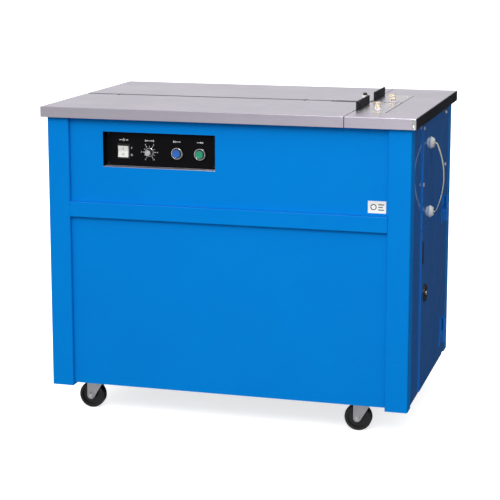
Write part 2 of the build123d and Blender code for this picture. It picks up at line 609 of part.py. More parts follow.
# drawn unlatched, with its tongue upright; a quarter turn brings the tongue behind the frame
with BuildPart() as door_latch:
    collar_face = RIGHT + COVER_PROUD + SEAT_GAP
    with BuildSketch(Plane.YZ.offset(collar_face)):
        with Locations((LATCH_Y, LATCH_Z)):
            Circle(LATCH_COLLAR_RADIUS)
    extrude(amount=LATCH_COLLAR_HEIGHT)
    fillet(door_latch.edges().filter_by(GeomType.CIRCLE).sort_by(Axis.X)[-1], 1)
    for pocket in (-1, 1):
        with BuildSketch(Plane.YZ.offset(collar_face + LATCH_FLOOR)):
            with Locations((LATCH_Y + pocket * LATCH_POCKET_OFFSET, LATCH_Z)):
                SlotOverall(LATCH_POCKET_LENGTH, LATCH_POCKET_WIDTH, rotation=90)
        extrude(amount=LATCH_COLLAR_HEIGHT, mode=Mode.SUBTRACT)
    with BuildSketch(Plane.YZ.offset(collar_face)):
        with Locations((LATCH_Y, LATCH_Z)):
            Circle(LATCH_SHAFT_RADIUS)
    extrude(amount=-COVER_PROUD - SHEET - LATCH_TONGUE_DROP)
    tongue_reach = LATCH_Y - (DOOR_FRONT + WINDOW_INSET) + LATCH_OVERLAP
    tongue_face = RIGHT - SHEET - LATCH_TONGUE_DROP + LATCH_TONGUE_THICKNESS
    with BuildSketch(Plane.YZ.offset(tongue_face)):
        with Locations((LATCH_Y, LATCH_Z + tongue_reach / 2 - LATCH_TONGUE_WIDTH / 4)):
            SlotOverall(tongue_reach + LATCH_TONGUE_WIDTH / 2, LATCH_TONGUE_WIDTH, rotation=90)
    extrude(amount=-LATCH_TONGUE_THICKNESS)
save(door_latch, "door_latch")

# ================================================================ controls
SWITCH_X = CONTROL_LEFT + 45.0
DIAL_X = CONTROL_LEFT + 109.0
RESET_X = CONTROL_LEFT + 178.0
FEED_X = CONTROL_LEFT + 234.0
CONTROLS_Z = CONTROL_BOTTOM + 36.0
SWITCH_WIDTH = 26.0
SWITCH_HEIGHT = 31.0
SWITCH_SIDE_GAP = 0.4
ROCKER_HEIGHT = 27.0
ROCKER_TIP = 6.0
ROCKER_HOLLOW = 3.0
ROCKER_BACK = 8.0
ROCKER_SHOULDER = 4.0
ROCKER_WAIST = 4.0
ROCKER_SLOPE = 1.5
DIAL_RADIUS = 8.5
DIAL_LENGTH = 14.0
DIAL_EDGE = 0.8
DIAL_FLUTES = 16
DIAL_FLUTE_RADIUS = 0.9
DIAL_SKIRT = 3.0
DIAL_SHAFT_RADIUS = 3.0
DIAL_POINTER_ANGLE = 45.0
DIAL_POINTER_LENGTH = 6.5
DIAL_POINTER_WIDTH = 1.4
DIAL_POINTER_PROUD = 0.8
BUTTON_RADIUS = 11.2
BUTTON_PROUD = 8.0
BEZEL_RADIUS = BUTTON_RADIUS + 3.3
BEZEL_EDGE = 1.0
BUTTON_EDGE = 1.2
BEZEL_PROUD = 5.0
BUTTON_STEM = 14.0

with BuildPart() as control_box:
    box_between(
        CONTROL_LEFT - CONTROL_BOX_WALL, CONTROL_RIGHT + CONTROL_BOX_WALL,
        PANEL_FACE + SHEET, PANEL_FACE + SHEET + CONTROL_BOX_DEPTH,
        CONTROL_BOTTOM - CONTROL_BOX_WALL, CONTROL_TOP + CONTROL_BOX_WALL,
    )
    mouth = control_box.faces().sort_by(Axis.Y)[0]
    offset(amount=-CONTROL_BOX_WALL, openings=mouth, kind=Kind.INTERSECTION)
save(control_box, "control_box")

with BuildPart() as control_plate:
    box_between(
        CONTROL_LEFT + SEAT_GAP, CONTROL_RIGHT - SEAT_GAP, FASCIA_FACE, FASCIA_FACE + FASCIA_SHEET,
        CONTROL_BOTTOM + SEAT_GAP, CONTROL_TOP - SEAT_GAP,
    )
    with BuildSketch(Plane.XZ.offset(-FASCIA_FACE)):
        for button_x in (RESET_X, FEED_X):
            with Locations((button_x, CONTROLS_Z)):
                Circle(BEZEL_RADIUS)
    extrude(amount=BEZEL_PROUD)
    fillet(control_plate.edges().filter_by(GeomType.CIRCLE).group_by(Axis.Y)[0], BEZEL_EDGE)
    with BuildSketch(Plane.XZ.offset(-FASCIA_FACE + BEZEL_PROUD + 1)):
        for button_x in (RESET_X, FEED_X):
            with Locations((button_x, CONTROLS_Z)):
                Circle(BUTTON_RADIUS + SEAT_GAP)
        with Locations((SWITCH_X, CONTROLS_Z)):
            Rectangle(SWITCH_WIDTH, SWITCH_HEIGHT)
        with Locations((DIAL_X, CONTROLS_Z)):
            Circle(DIAL_SHAFT_RADIUS + RUN_GAP)
    extrude(amount=-BEZEL_PROUD - FASCIA_SHEET - 2, mode=Mode.SUBTRACT)
save(control_plate, "control_plate")

with BuildPart() as power_switch:
    half = ROCKER_HEIGHT / 2
    with BuildSketch(Plane.YZ.offset(SWITCH_X - SWITCH_WIDTH / 2 + SWITCH_SIDE_GAP)):
        with BuildLine():
            Polyline(
                (FASCIA_FACE - ROCKER_TIP, CONTROLS_Z + half),
                (FASCIA_FACE - ROCKER_HOLLOW, CONTROLS_Z),
                (FASCIA_FACE - ROCKER_TIP, CONTROLS_Z - half),
                (FASCIA_FACE + ROCKER_SHOULDER, CONTROLS_Z - half + ROCKER_SLOPE),
                (FASCIA_FACE + ROCKER_BACK, CONTROLS_Z - ROCKER_WAIST),
                (FASCIA_FACE + ROCKER_BACK, CONTROLS_Z + ROCKER_WAIST),
                (FASCIA_FACE + ROCKER_SHOULDER, CONTROLS_Z + half - ROCKER_SLOPE), close=True,
            )
        make_face()
    extrude(amount=SWITCH_WIDTH - 2 * SWITCH_SIDE_GAP)
save(power_switch, "power_switch")

with BuildPart() as length_dial:
    with BuildSketch(Plane.XZ.offset(-FASCIA_FACE + SEAT_GAP)):
        with Locations((DIAL_X, CONTROLS_Z)):
            Circle(DIAL_RADIUS)
    extrude(amount=DIAL_SKIRT)
    chamfer(length_dial.edges().filter_by(GeomType.CIRCLE).sort_by(Axis.Y)[0], DIAL_EDGE)
    with BuildSketch(Plane.XZ.offset(-FASCIA_FACE + SEAT_GAP + DIAL_SKIRT)):
        with Locations((DIAL_X, CONTROLS_Z)):
            Circle(DIAL_RADIUS - DIAL_EDGE)
            with PolarLocations(DIAL_RADIUS - DIAL_EDGE, DIAL_FLUTES):
                Circle(DIAL_FLUTE_RADIUS, mode=Mode.SUBTRACT)
    extrude(amount=DIAL_LENGTH - DIAL_SKIRT)
    with BuildSketch(Plane.XZ.offset(-FASCIA_FACE + SEAT_GAP + DIAL_LENGTH)):
        with Locations((DIAL_X, CONTROLS_Z)):
            with PolarLocations(DIAL_POINTER_LENGTH / 2, 1, start_angle=DIAL_POINTER_ANGLE):
                Rectangle(DIAL_POINTER_LENGTH, DIAL_POINTER_WIDTH)
    extrude(amount=DIAL_POINTER_PROUD)
    with BuildSketch(Plane.XZ.offset(-FASCIA_FACE + SEAT_GAP)):
        with Locations((DIAL_X, CONTROLS_Z)):
            Circle(DIAL_SHAFT_RADIUS)
    extrude(amount=-BUTTON_STEM)
save(length_dial, "length_dial")

for name, button_x in (("reset_button", RESET_X), ("feed_button", FEED_X)):
    with BuildPart() as button:
        with BuildSketch(Plane.XZ.offset(-FASCIA_FACE + BUTTON_PROUD)):
            with Locations((button_x, CONTROLS_Z)):
                Circle(BUTTON_RADIUS)
        extrude(amount=-BUTTON_PROUD - BUTTON_STEM)
        fillet(button.edges().filter_by(GeomType.CIRCLE).sort_by(Axis.Y)[0], BUTTON_EDGE)
    save(button, name)

# ================================================================ table
TABLE_LEFT = CX - TABLE_WIDTH / 2
TABLE_RIGHT = CX + TABLE_WIDTH / 2
LID_END = TABLE_RIGHT - 165.5
LID_END_GAP = 2.0
RAIL_BOTTOM = TABLE_HEIGHT - 35.0
RAIL_SINK = 0.5
LID_HINGE_XS = (TABLE_LEFT + 87.5, LID_END - 162.0)
LID_AXIS_DROP = 5.8
LUG_RADIUS = 3.5
LUG_WIDTH = 5.0
LUG_GAP = 0.5
LID_PIN_RADIUS = 2.0
LID_PIN_LENGTH = 6.5
NOTCH_MARGIN = 1.0
STRAP_MOUTH_LENGTH = 94.0
STRAP_MOUTH_WIDTH = 6.5
EDGE_ROUND = 1.3
LIP_BOTTOM = TABLE_HEIGHT - TABLE_LIP
LID_AXIS_Z = TABLE_HEIGHT - LID_AXIS_DROP

for name, side in (("front_lid", -1), ("rear_lid", 1)):
    outer_y = side * TABLE_DEPTH / 2
    edge_y = STRAP_Y + side * (RAIL_HALF + LID_GAP)
    axis_y = edge_y + side * LID_AXIS_INSET
    with BuildPart() as lid:
        box_between(
            TABLE_LEFT, LID_END, min(outer_y, edge_y), max(outer_y, edge_y), LIP_BOTTOM, TABLE_HEIGHT,
        )
        lip_face = outer_y - side * LIP_SHEET
        open_face = edge_y - side
        box_between(
            TABLE_LEFT + LIP_SHEET, LID_END + 1, min(lip_face, open_face), max(lip_face, open_face),
            LIP_BOTTOM - 1, TABLE_HEIGHT - TABLE_SHEET, mode=Mode.SUBTRACT,
        )
        top_edges = lid.edges().group_by(Axis.Z)[-1]
        outer_rim = top_edges.filter_by(Axis.Y).sort_by(Axis.X)[0:1]
        outer_rim += top_edges.filter_by(Axis.X).sort_by(Axis.Y)[::side][-1:]
        fillet(outer_rim, EDGE_ROUND)
        mouth_y = edge_y + side * STRAP_MOUTH_WIDTH
        box_between(
            LID_END - STRAP_MOUTH_LENGTH, LID_END + 1, min(mouth_y, open_face), max(mouth_y, open_face),
            LIP_BOTTOM, TABLE_HEIGHT + 1, mode=Mode.SUBTRACT,
        )
        notch_y = axis_y + side * (LUG_RADIUS + NOTCH_MARGIN)
        for hinge_x in LID_HINGE_XS:
            box_between(
                hinge_x - NOTCH_MARGIN, hinge_x + LUG_WIDTH + NOTCH_MARGIN / 4,
                min(notch_y, open_face), max(notch_y, open_face),
                LIP_BOTTOM, TABLE_HEIGHT + 1, mode=Mode.SUBTRACT,
            )
            with BuildSketch(Plane.YZ.offset(hinge_x + LUG_WIDTH + LUG_GAP)):
                with Locations((axis_y, LID_AXIS_Z)):
                    Circle(LUG_RADIUS)
                with Locations((axis_y, (LID_AXIS_Z + TABLE_HEIGHT - TABLE_SHEET) / 2)):
                    Rectangle(2 * LUG_RADIUS, LID_AXIS_DROP - TABLE_SHEET)
                with Locations((axis_y, LID_AXIS_Z)):
                    Circle(LID_PIN_RADIUS + RUN_GAP, mode=Mode.SUBTRACT)
            extrude(amount=LUG_WIDTH)
    save(lid, name)

HEAD_RIGHT = INNER_RIGHT - PANEL_GAP
HEAD_LEFT = HEAD_RIGHT - 192.0
HEAD_WALL = 10.0
RING_INNER_Y = CAB_DEPTH / 2 - TOP_BAR_WIDTH

with BuildPart() as centre_rail:
    rail_top = TABLE_HEIGHT - RAIL_SINK
    box_between(
        LEFT + TOP_BAR_WIDTH, HEAD_LEFT, STRAP_Y - RAIL_HALF, STRAP_Y + RAIL_HALF,
        RAIL_BOTTOM, rail_top,
    )
    box_between(
        TABLE_LEFT + LIP_SHEET + SEAT_GAP, LEFT + TOP_BAR_WIDTH,
        STRAP_Y - RAIL_HALF, STRAP_Y + RAIL_HALF, FRAME_TOP - LID_POCKET_DEPTH, rail_top,
    )
    box_between(
        HEAD_LEFT, LID_END + LID_END_GAP, STRAP_Y - RAIL_HALF, STRAP_Y + RAIL_HALF,
        FRAME_TOP, rail_top,
    )
    for side in (-1, 1):
        axis_y = STRAP_Y + side * (RAIL_HALF + LID_GAP + LID_AXIS_INSET)
        for hinge_x in LID_HINGE_XS:
            with BuildSketch(Plane.YZ.offset(hinge_x)):
                with Locations((axis_y, LID_AXIS_Z)):
                    Circle(LUG_RADIUS)
                with Locations(((axis_y + STRAP_Y) / 2, LID_AXIS_Z)):
                    Rectangle(abs(axis_y - STRAP_Y), 2 * LUG_RADIUS)
            extrude(amount=LUG_WIDTH)
            with BuildSketch(Plane.YZ.offset(hinge_x)):
                with Locations((axis_y, LID_AXIS_Z)):
                    Circle(LID_PIN_RADIUS)
            extrude(amount=LUG_WIDTH + LID_PIN_LENGTH)
save(centre_rail, "centre_rail")

TRIM_THICKNESS = 1.5
INSERT_FRONT = -TABLE_DEPTH / 2 + 88.0
INSERT_BACK = TABLE_DEPTH / 2 - 155.0
INSERT_RIGHT = TABLE_RIGHT - 85.5
INSERT_GAP = 2.0
INSERT_JOINT = 0.5
STRAP_GAP = 16.0

with BuildPart() as table_end:
    table_end_right = TABLE_RIGHT - TRIM_THICKNESS
    box_between(
        LID_END + LID_END_GAP, table_end_right, -TABLE_DEPTH / 2, TABLE_DEPTH / 2,
        LIP_BOTTOM, TABLE_HEIGHT,
    )
    box_between(
        LID_END, table_end_right - LIP_SHEET, -TABLE_DEPTH / 2 + LIP_SHEET,
        TABLE_DEPTH / 2 - LIP_SHEET, LIP_BOTTOM - 1, TABLE_HEIGHT - TABLE_SHEET, mode=Mode.SUBTRACT,
    )
    fillet(table_end.edges().group_by(Axis.Z)[-1].filter_by(Axis.X), EDGE_ROUND)
    box_between(
        LID_END, INSERT_RIGHT, INSERT_FRONT - INSERT_JOINT, INSERT_BACK + INSERT_JOINT,
        LIP_BOTTOM, TABLE_HEIGHT + 1, mode=Mode.SUBTRACT,
    )
save(table_end, "table_end")

with BuildPart() as table_edge_trim:
    box_between(
        TABLE_RIGHT - TRIM_THICKNESS, TABLE_RIGHT, -TABLE_DEPTH / 2 + LIP_SHEET, TABLE_DEPTH / 2,
        LIP_BOTTOM, TABLE_HEIGHT - RAIL_SINK,
    )
save(table_edge_trim, "table_edge_trim")

# ---------------------------------------------------------------- head insert, stops and knobs
PLATE_LEFT = LID_END + LID_END_GAP + 1.0
PLATE_RIGHT = INSERT_RIGHT - INSERT_GAP
KNOB_Z = TABLE_HEIGHT + 12.0
KNOB_ARM = 10.0
KNOB_ARM_WIDTH = 3.2
KNOB_THICKNESS = 5.4
KNOB_HUB_RADIUS = 4.2
STUD_RADIUS = 2.5
STUD_LENGTH = 7.0
BRACKET_SHEET = 2.0
BRACKET_WIDTH = 12.0
BRACKET_HEIGHT = 19.0
FRONT_KNOB_X = PLATE_LEFT + 47.0
FRONT_KNOB_Y = INSERT_FRONT + 55.0
REAR_KNOB_X = PLATE_LEFT + 49.0
REAR_KNOB_Y = STRAP_Y + 20.0

plates = {
    "head_plate_front": (INSERT_FRONT, STRAP_Y - STRAP_GAP / 2, FRONT_KNOB_X, FRONT_KNOB_Y),
    "head_plate_rear": (STRAP_Y + STRAP_GAP / 2, INSERT_BACK, REAR_KNOB_X, REAR_KNOB_Y),
}
for name, (plate_front, plate_back, bracket_x, bracket_y) in plates.items():
    with BuildPart() as head_plate:
        box_between(
            PLATE_LEFT, PLATE_RIGHT, plate_front, plate_back, TABLE_HEIGHT - TABLE_SHEET, TABLE_HEIGHT,
        )
        box_between(
            bracket_x - BRACKET_WIDTH / 2, bracket_x + BRACKET_WIDTH / 2,
            bracket_y, bracket_y + BRACKET_SHEET, TABLE_HEIGHT, TABLE_HEIGHT + BRACKET_HEIGHT,
        )
        with BuildSketch(Plane.XZ.offset(-bracket_y)):
            with Locations((bracket_x, KNOB_Z)):
                Circle(STUD_RADIUS)
        extrude(amount=STUD_LENGTH)
    save(head_plate, name)

for name, knob_x, knob_y in (
    ("cross_knob_front", FRONT_KNOB_X, FRONT_KNOB_Y), ("cross_knob_rear", REAR_KNOB_X, REAR_KNOB_Y),
):
    with BuildPart() as cross_knob:
        with BuildSketch(Plane.XZ.offset(-knob_y + SEAT_GAP)):
            with Locations((knob_x, KNOB_Z)):
                Circle(KNOB_HUB_RADIUS)
                with PolarLocations(KNOB_ARM / 2, 4, start_angle=45):
                    RectangleRounded(KNOB_ARM, KNOB_ARM_WIDTH, KNOB_ARM_WIDTH / 2 - 0.1)
        extrude(amount=KNOB_THICKNESS)
        with BuildSketch(Plane.XZ.offset(-knob_y)):
            with Locations((knob_x, KNOB_Z)):
                Circle(STUD_RADIUS + RUN_GAP)
        extrude(amount=STUD_LENGTH + 1, mode=Mode.SUBTRACT)
    save(cross_knob, name)

STOP_THICKNESS = 3.0
STOP_HEIGHT = 21.0
STOP_ROUND = 3.0
stops = {
    "stop_plate_front": (INSERT_FRONT + 29.0, STRAP_Y - 38.0),
    "stop_plate_rear": (STRAP_Y + 26.0, INSERT_BACK - 3.0),
}
for name, (stop_front, stop_back) in stops.items():
    with BuildPart() as stop_plate:
        box_between(
            PLATE_LEFT + 1, PLATE_LEFT + 1 + STOP_THICKNESS, stop_front, stop_back,
            TABLE_HEIGHT, TABLE_HEIGHT + STOP_HEIGHT,
        )
        fillet(stop_plate.edges().filter_by(Axis.X).group_by(Axis.Z)[-1], STOP_ROUND)
    save(stop_plate, name)

# ================================================================ sealing head and drive
HEAD_FRONT = STRAP_Y - 52.0
HEAD_SHOULDER = TABLE_HEIGHT - 15.0
ARM_BOTTOM = TABLE_HEIGHT - 28.0
PRESS_BOTTOM = TABLE_HEIGHT - 47.0
PRESS_TOP = TABLE_HEIGHT - 23.5
CAM_SHAFT_RADIUS = 10.0
CAM_RADIUS = 22.0
CAM_OFFSET = 4.0
CAM_CLEARANCE = 5.0
CAM_AXIS_Z = PRESS_BOTTOM - CAM_CLEARANCE - CAM_OFFSET - CAM_RADIUS
CAM_THICKNESS = 12.0
CAM_XS = (HEAD_LEFT + 50.0, HEAD_LEFT + 92.0, HEAD_LEFT + 136.0)
CAM_TURN = 120
MOTOR_RADIUS = 42.0
MOTOR_LENGTH = 150.0
MOTOR_FLANGE = 2 * MOTOR_RADIUS + 6.0
MOTOR_FLANGE_THICKNESS = 8.0
MOTOR_FLANGE_ROUND = 8.0
MOTOR_SHAFT_RADIUS = 7.0
MOTOR_SHAFT_GAP = 2.0
MOTOR_Y = STRAP_Y + CAM_RADIUS + CAM_OFFSET + MOTOR_FLANGE / 2 + 32.0
MOTOR_Z = CAM_AXIS_Z - 72.0
MOTOR_CORE_STEP = 4.0
MOTOR_CAP_LENGTH = 20.0
MOTOR_CAP_ROUND = 5.0
TERMINAL_START = 40.0
TERMINAL_END = 100.0
TERMINAL_HALF = 16.0
TERMINAL_SINK = 10.0
TERMINAL_RISE = 14.0
FIN_COUNT = 24
FIN_LENGTH = 8.0
FIN_WIDTH = 2.4
HEAD_BACK = MOTOR_Y + MOTOR_FLANGE / 2 + 20.0
HEAD_BOTTOM = MOTOR_Z - MOTOR_FLANGE / 2 - 5.0 - HEAD_WALL
CROSSBAR_FRONT = (STRAP_Y - 112.0, STRAP_Y - 52.0)
CROSSBAR_BACK = (STRAP_Y + 53.0, STRAP_Y + 113.0)
HEAD_IN_LEFT = HEAD_LEFT + HEAD_WALL
HEAD_IN_RIGHT = HEAD_RIGHT - HEAD_WALL
GUIDE_BOTTOM = PRESS_BOTTOM - 1.0
GUIDE_TOP = PRESS_TOP - 6.5
GUIDE_THICKNESS = 10.0
GUIDE_GAP = 0.4
PRESS_LEFT = HEAD_LEFT + 110.0
PRESS_RIGHT = HEAD_LEFT + 162.0
PRESS_WIDTH = 16.0
TOOTH_PITCH = 6.0
TOOTH_INSET = 4.0
TOOTH_SIDE = 1.6
LEDGE_WIDTH = 8.0
LEDGE_HALF_LENGTH = 45.0
CARRIAGE_BOTTOM = TABLE_HEIGHT - 17.0
CARRIAGE_TOP = TABLE_HEIGHT - 9.0
ANVIL_TOP = TABLE_HEIGHT - TABLE_SHEET - 0.6
ANVIL_WIDTH = 14.0
ANVIL_LEFT = HEAD_LEFT + 106.0
ANVIL_RIGHT = HEAD_LEFT + 166.0
HEATER_LEFT = HEAD_LEFT + 120.0
HEATER_RIGHT = HEAD_LEFT + 155.0
HEATER_BLOCK_STEP = 5.0
BLADE_BOTTOM = PRESS_TOP + 4.1
BLADE_THICKNESS = 1.5
BLADE_FRONT = STRAP_Y + 13.0
HEATER_BLOCK_FRONT = STRAP_Y + 70.0
HEATER_BLOCK_BACK = STRAP_Y + 100.0
HEATER_SHELF_BOTTOM = TABLE_HEIGHT - 60.0
HEATER_SHELF_TOP = TABLE_HEIGHT - 50.3
HEATER_SHELF_FRONT = STRAP_Y + 43.0
HEATER_SHELF_BACK = STRAP_Y + 108.0

with BuildPart() as head_frame:
    for wall_x in (HEAD_LEFT, HEAD_IN_RIGHT):
        box_between(wall_x, wall_x + HEAD_WALL, HEAD_FRONT, HEAD_BACK, HEAD_BOTTOM, HEAD_SHOULDER)
        box_between(wall_x, wall_x + HEAD_WALL, -RING_INNER_Y, RING_INNER_Y, ARM_BOTTOM, FRAME_TOP)
    box_between(HEAD_IN_LEFT, HEAD_IN_RIGHT, HEAD_FRONT, HEAD_BACK, HEAD_BOTTOM, HEAD_BOTTOM + HEAD_WALL)
    for bar_front, bar_back in (CROSSBAR_FRONT, CROSSBAR_BACK):
        box_between(HEAD_IN_LEFT, HEAD_IN_RIGHT, bar_front, bar_back, HEAD_SHOULDER, FRAME_TOP)
    for side in (-1, 1):
        guide_near = STRAP_Y + side * (PRESS_WIDTH / 2 + GUIDE_GAP)
        guide_far = guide_near + side * GUIDE_THICKNESS
        box_between(
            HEAD_IN_LEFT, HEAD_IN_RIGHT, min(guide_near, guide_far), max(guide_near, guide_far),
            GUIDE_BOTTOM, GUIDE_TOP,
        )
    for ledge_x in (HEAD_IN_LEFT, HEAD_IN_RIGHT - LEDGE_WIDTH):
        box_between(
            ledge_x, ledge_x + LEDGE_WIDTH, -LEDGE_HALF_LENGTH, LEDGE_HALF_LENGTH,
            CARRIAGE_BOTTOM - LEDGE_WIDTH, CARRIAGE_BOTTOM - SEAT_GAP,
        )
    box_between(
        HEAD_IN_LEFT, HEAD_IN_RIGHT, HEATER_SHELF_FRONT, HEATER_SHELF_BACK,
        HEATER_SHELF_BOTTOM, HEATER_SHELF_TOP,
    )
    with BuildSketch(Plane.YZ.offset(HEAD_LEFT - 1)):
        with Locations((STRAP_Y, CAM_AXIS_Z)):
            Circle(CAM_SHAFT_RADIUS + RUN_GAP)
        with Locations((MOTOR_Y, MOTOR_Z)):
            Circle(MOTOR_SHAFT_RADIUS + MOTOR_SHAFT_GAP)
    extrude(amount=HEAD_RIGHT - HEAD_LEFT + 2, mode=Mode.SUBTRACT)
save(head_frame, "head_frame")

with BuildPart() as motor:
    with BuildSketch(Plane.YZ.offset(HEAD_IN_LEFT)):
        with Locations((MOTOR_Y, MOTOR_Z)):
            RectangleRounded(MOTOR_FLANGE, MOTOR_FLANGE, MOTOR_FLANGE_ROUND)
    extrude(amount=MOTOR_FLANGE_THICKNESS)
    with BuildSketch(Plane.YZ.offset(HEAD_IN_LEFT + MOTOR_FLANGE_THICKNESS)):
        with Locations((MOTOR_Y, MOTOR_Z)):
            Circle(MOTOR_RADIUS - MOTOR_CORE_STEP)
            with PolarLocations(MOTOR_RADIUS - MOTOR_CORE_STEP, FIN_COUNT):
                Rectangle(FIN_LENGTH, FIN_WIDTH)
    extrude(amount=MOTOR_LENGTH - MOTOR_FLANGE_THICKNESS - MOTOR_CAP_LENGTH)
    with BuildSketch(Plane.YZ.offset(HEAD_IN_LEFT + MOTOR_LENGTH - MOTOR_CAP_LENGTH)):
        with Locations((MOTOR_Y, MOTOR_Z)):
            Circle(MOTOR_RADIUS)
    extrude(amount=MOTOR_CAP_LENGTH)
    fillet(motor.edges().filter_by(GeomType.CIRCLE).sort_by(Axis.X)[-1], MOTOR_CAP_ROUND)
    box_between(
        HEAD_IN_LEFT + TERMINAL_START, HEAD_IN_LEFT + TERMINAL_END,
        MOTOR_Y - TERMINAL_HALF, MOTOR_Y + TERMINAL_HALF,
        MOTOR_Z + MOTOR_RADIUS - TERMINAL_SINK, MOTOR_Z + MOTOR_RADIUS + TERMINAL_RISE,
    )
save(motor, "motor")

PULLEY_X = HEAD_LEFT - 22.0
PULLEY_WIDTH = 16.0
PULLEY_FLANGE = 2.0
PULLEY_RIM = 5.0
MOTOR_PULLEY_RADIUS = 20.0
CAM_PULLEY_RADIUS = 35.0
BELT_THICKNESS = 3.0
BELT_SIDE_GAP = 0.3
SHAFT_END_OUT = 3.0
CAM_SHAFT_OUT = 6.0

with BuildPart() as motor_pulley:
    with BuildSketch(Plane.YZ.offset(PULLEY_X)):
        with Locations((MOTOR_Y, MOTOR_Z)):
            Circle(MOTOR_PULLEY_RADIUS + PULLEY_RIM)
    extrude(amount=PULLEY_WIDTH)
    with BuildSketch(Plane.YZ.offset(PULLEY_X + PULLEY_FLANGE)):
        with Locations((MOTOR_Y, MOTOR_Z)):
            Circle(MOTOR_PULLEY_RADIUS + PULLEY_RIM + 1)
            Circle(MOTOR_PULLEY_RADIUS, mode=Mode.SUBTRACT)
    extrude(amount=PULLEY_WIDTH - 2 * PULLEY_FLANGE, mode=Mode.SUBTRACT)
    with BuildSketch(Plane.YZ.offset(PULLEY_X - SHAFT_END_OUT)):
        with Locations((MOTOR_Y, MOTOR_Z)):
            Circle(MOTOR_SHAFT_RADIUS)
    extrude(amount=HEAD_IN_LEFT - SEAT_GAP - PULLEY_X + SHAFT_END_OUT)
save(motor_pulley, "motor_pulley")

with BuildPart() as cam_shaft:
    with BuildSketch(Plane.YZ.offset(PULLEY_X)):
        with Locations((STRAP_Y, CAM_AXIS_Z)):
            Circle(CAM_PULLEY_RADIUS + PULLEY_RIM)
    extrude(amount=PULLEY_WIDTH)
    with BuildSketch(Plane.YZ.offset(PULLEY_X + PULLEY_FLANGE)):
        with Locations((STRAP_Y, CAM_AXIS_Z)):
            Circle(CAM_PULLEY_RADIUS + PULLEY_RIM + 1)
            Circle(CAM_PULLEY_RADIUS, mode=Mode.SUBTRACT)
    extrude(amount=PULLEY_WIDTH - 2 * PULLEY_FLANGE, mode=Mode.SUBTRACT)
    with BuildSketch(Plane.YZ.offset(PULLEY_X - SHAFT_END_OUT)):
        with Locations((STRAP_Y, CAM_AXIS_Z)):
            Circle(CAM_SHAFT_RADIUS)
    extrude(amount=HEAD_RIGHT + CAM_SHAFT_OUT - PULLEY_X + SHAFT_END_OUT)
    for number, cam_x in enumerate(CAM_XS):
        turn = radians(CAM_TURN * number)
        with BuildSketch(Plane.YZ.offset(cam_x - CAM_THICKNESS / 2)):
            with Locations((STRAP_Y + CAM_OFFSET * cos(turn), CAM_AXIS_Z + CAM_OFFSET * sin(turn))):
                Circle(CAM_RADIUS)
        extrude(amount=CAM_THICKNESS)
save(cam_shaft, "cam_shaft")

with BuildPart() as drive_belt:
    with BuildSketch(Plane.YZ.offset(PULLEY_X + PULLEY_FLANGE + BELT_SIDE_GAP)):
        with Locations((MOTOR_Y, MOTOR_Z)):
            Circle(MOTOR_PULLEY_RADIUS + SEAT_GAP + BELT_THICKNESS)
        with Locations((STRAP_Y, CAM_AXIS_Z)):
            Circle(CAM_PULLEY_RADIUS + SEAT_GAP + BELT_THICKNESS)
        make_hull()
    extrude(amount=PULLEY_WIDTH - 2 * PULLEY_FLANGE - 2 * BELT_SIDE_GAP)
    with BuildSketch(Plane.YZ.offset(PULLEY_X)):
        with Locations((MOTOR_Y, MOTOR_Z)):
            Circle(MOTOR_PULLEY_RADIUS + SEAT_GAP)
        with Locations((STRAP_Y, CAM_AXIS_Z)):
            Circle(CAM_PULLEY_RADIUS + SEAT_GAP)
        make_hull()
    extrude(amount=PULLEY_WIDTH, mode=Mode.SUBTRACT)
save(drive_belt, "drive_belt")

with BuildPart() as slide_anvil:
    anvil_front = STRAP_Y - ANVIL_WIDTH / 2
    anvil_back = STRAP_Y + ANVIL_WIDTH / 2
    box_between(
        HEAD_IN_LEFT + SEAT_GAP, HEAD_IN_RIGHT - SEAT_GAP, anvil_front, anvil_back,
        CARRIAGE_BOTTOM, CARRIAGE_TOP,
    )
    box_between(ANVIL_LEFT, ANVIL_RIGHT, anvil_front, anvil_back, CARRIAGE_TOP, ANVIL_TOP)
save(slide_anvil, "slide_anvil")

with BuildPart() as press_head:
    box_between(
        PRESS_LEFT, PRESS_RIGHT, STRAP_Y - PRESS_WIDTH / 2, STRAP_Y + PRESS_WIDTH / 2,
        PRESS_BOTTOM, PRESS_TOP,
    )
    with BuildSketch(Plane.XZ.offset(-STRAP_Y - PRESS_WIDTH / 2 - 1)):
        tooth_x = PRESS_LEFT + TOOTH_INSET
        while tooth_x < PRESS_RIGHT - TOOTH_SIDE:
            with Locations((tooth_x, PRESS_TOP)):
                Rectangle(TOOTH_SIDE, TOOTH_SIDE, rotation=45)
            tooth_x += TOOTH_PITCH
    extrude(amount=PRESS_WIDTH + 2, mode=Mode.SUBTRACT)
save(press_head, "press_head")

with BuildPart() as heater_blade:
    box_between(
        HEATER_LEFT, HEATER_RIGHT, BLADE_FRONT, HEATER_BLOCK_BACK,
        BLADE_BOTTOM, BLADE_BOTTOM + BLADE_THICKNESS,
    )
    box_between(
        HEATER_LEFT - HEATER_BLOCK_STEP, HEATER_RIGHT + HEATER_BLOCK_STEP,
        HEATER_BLOCK_FRONT, HEATER_BLOCK_BACK,
        HEATER_SHELF_TOP + SEAT_GAP, BLADE_BOTTOM + BLADE_THICKNESS,
    )
save(heater_blade, "heater_blade")

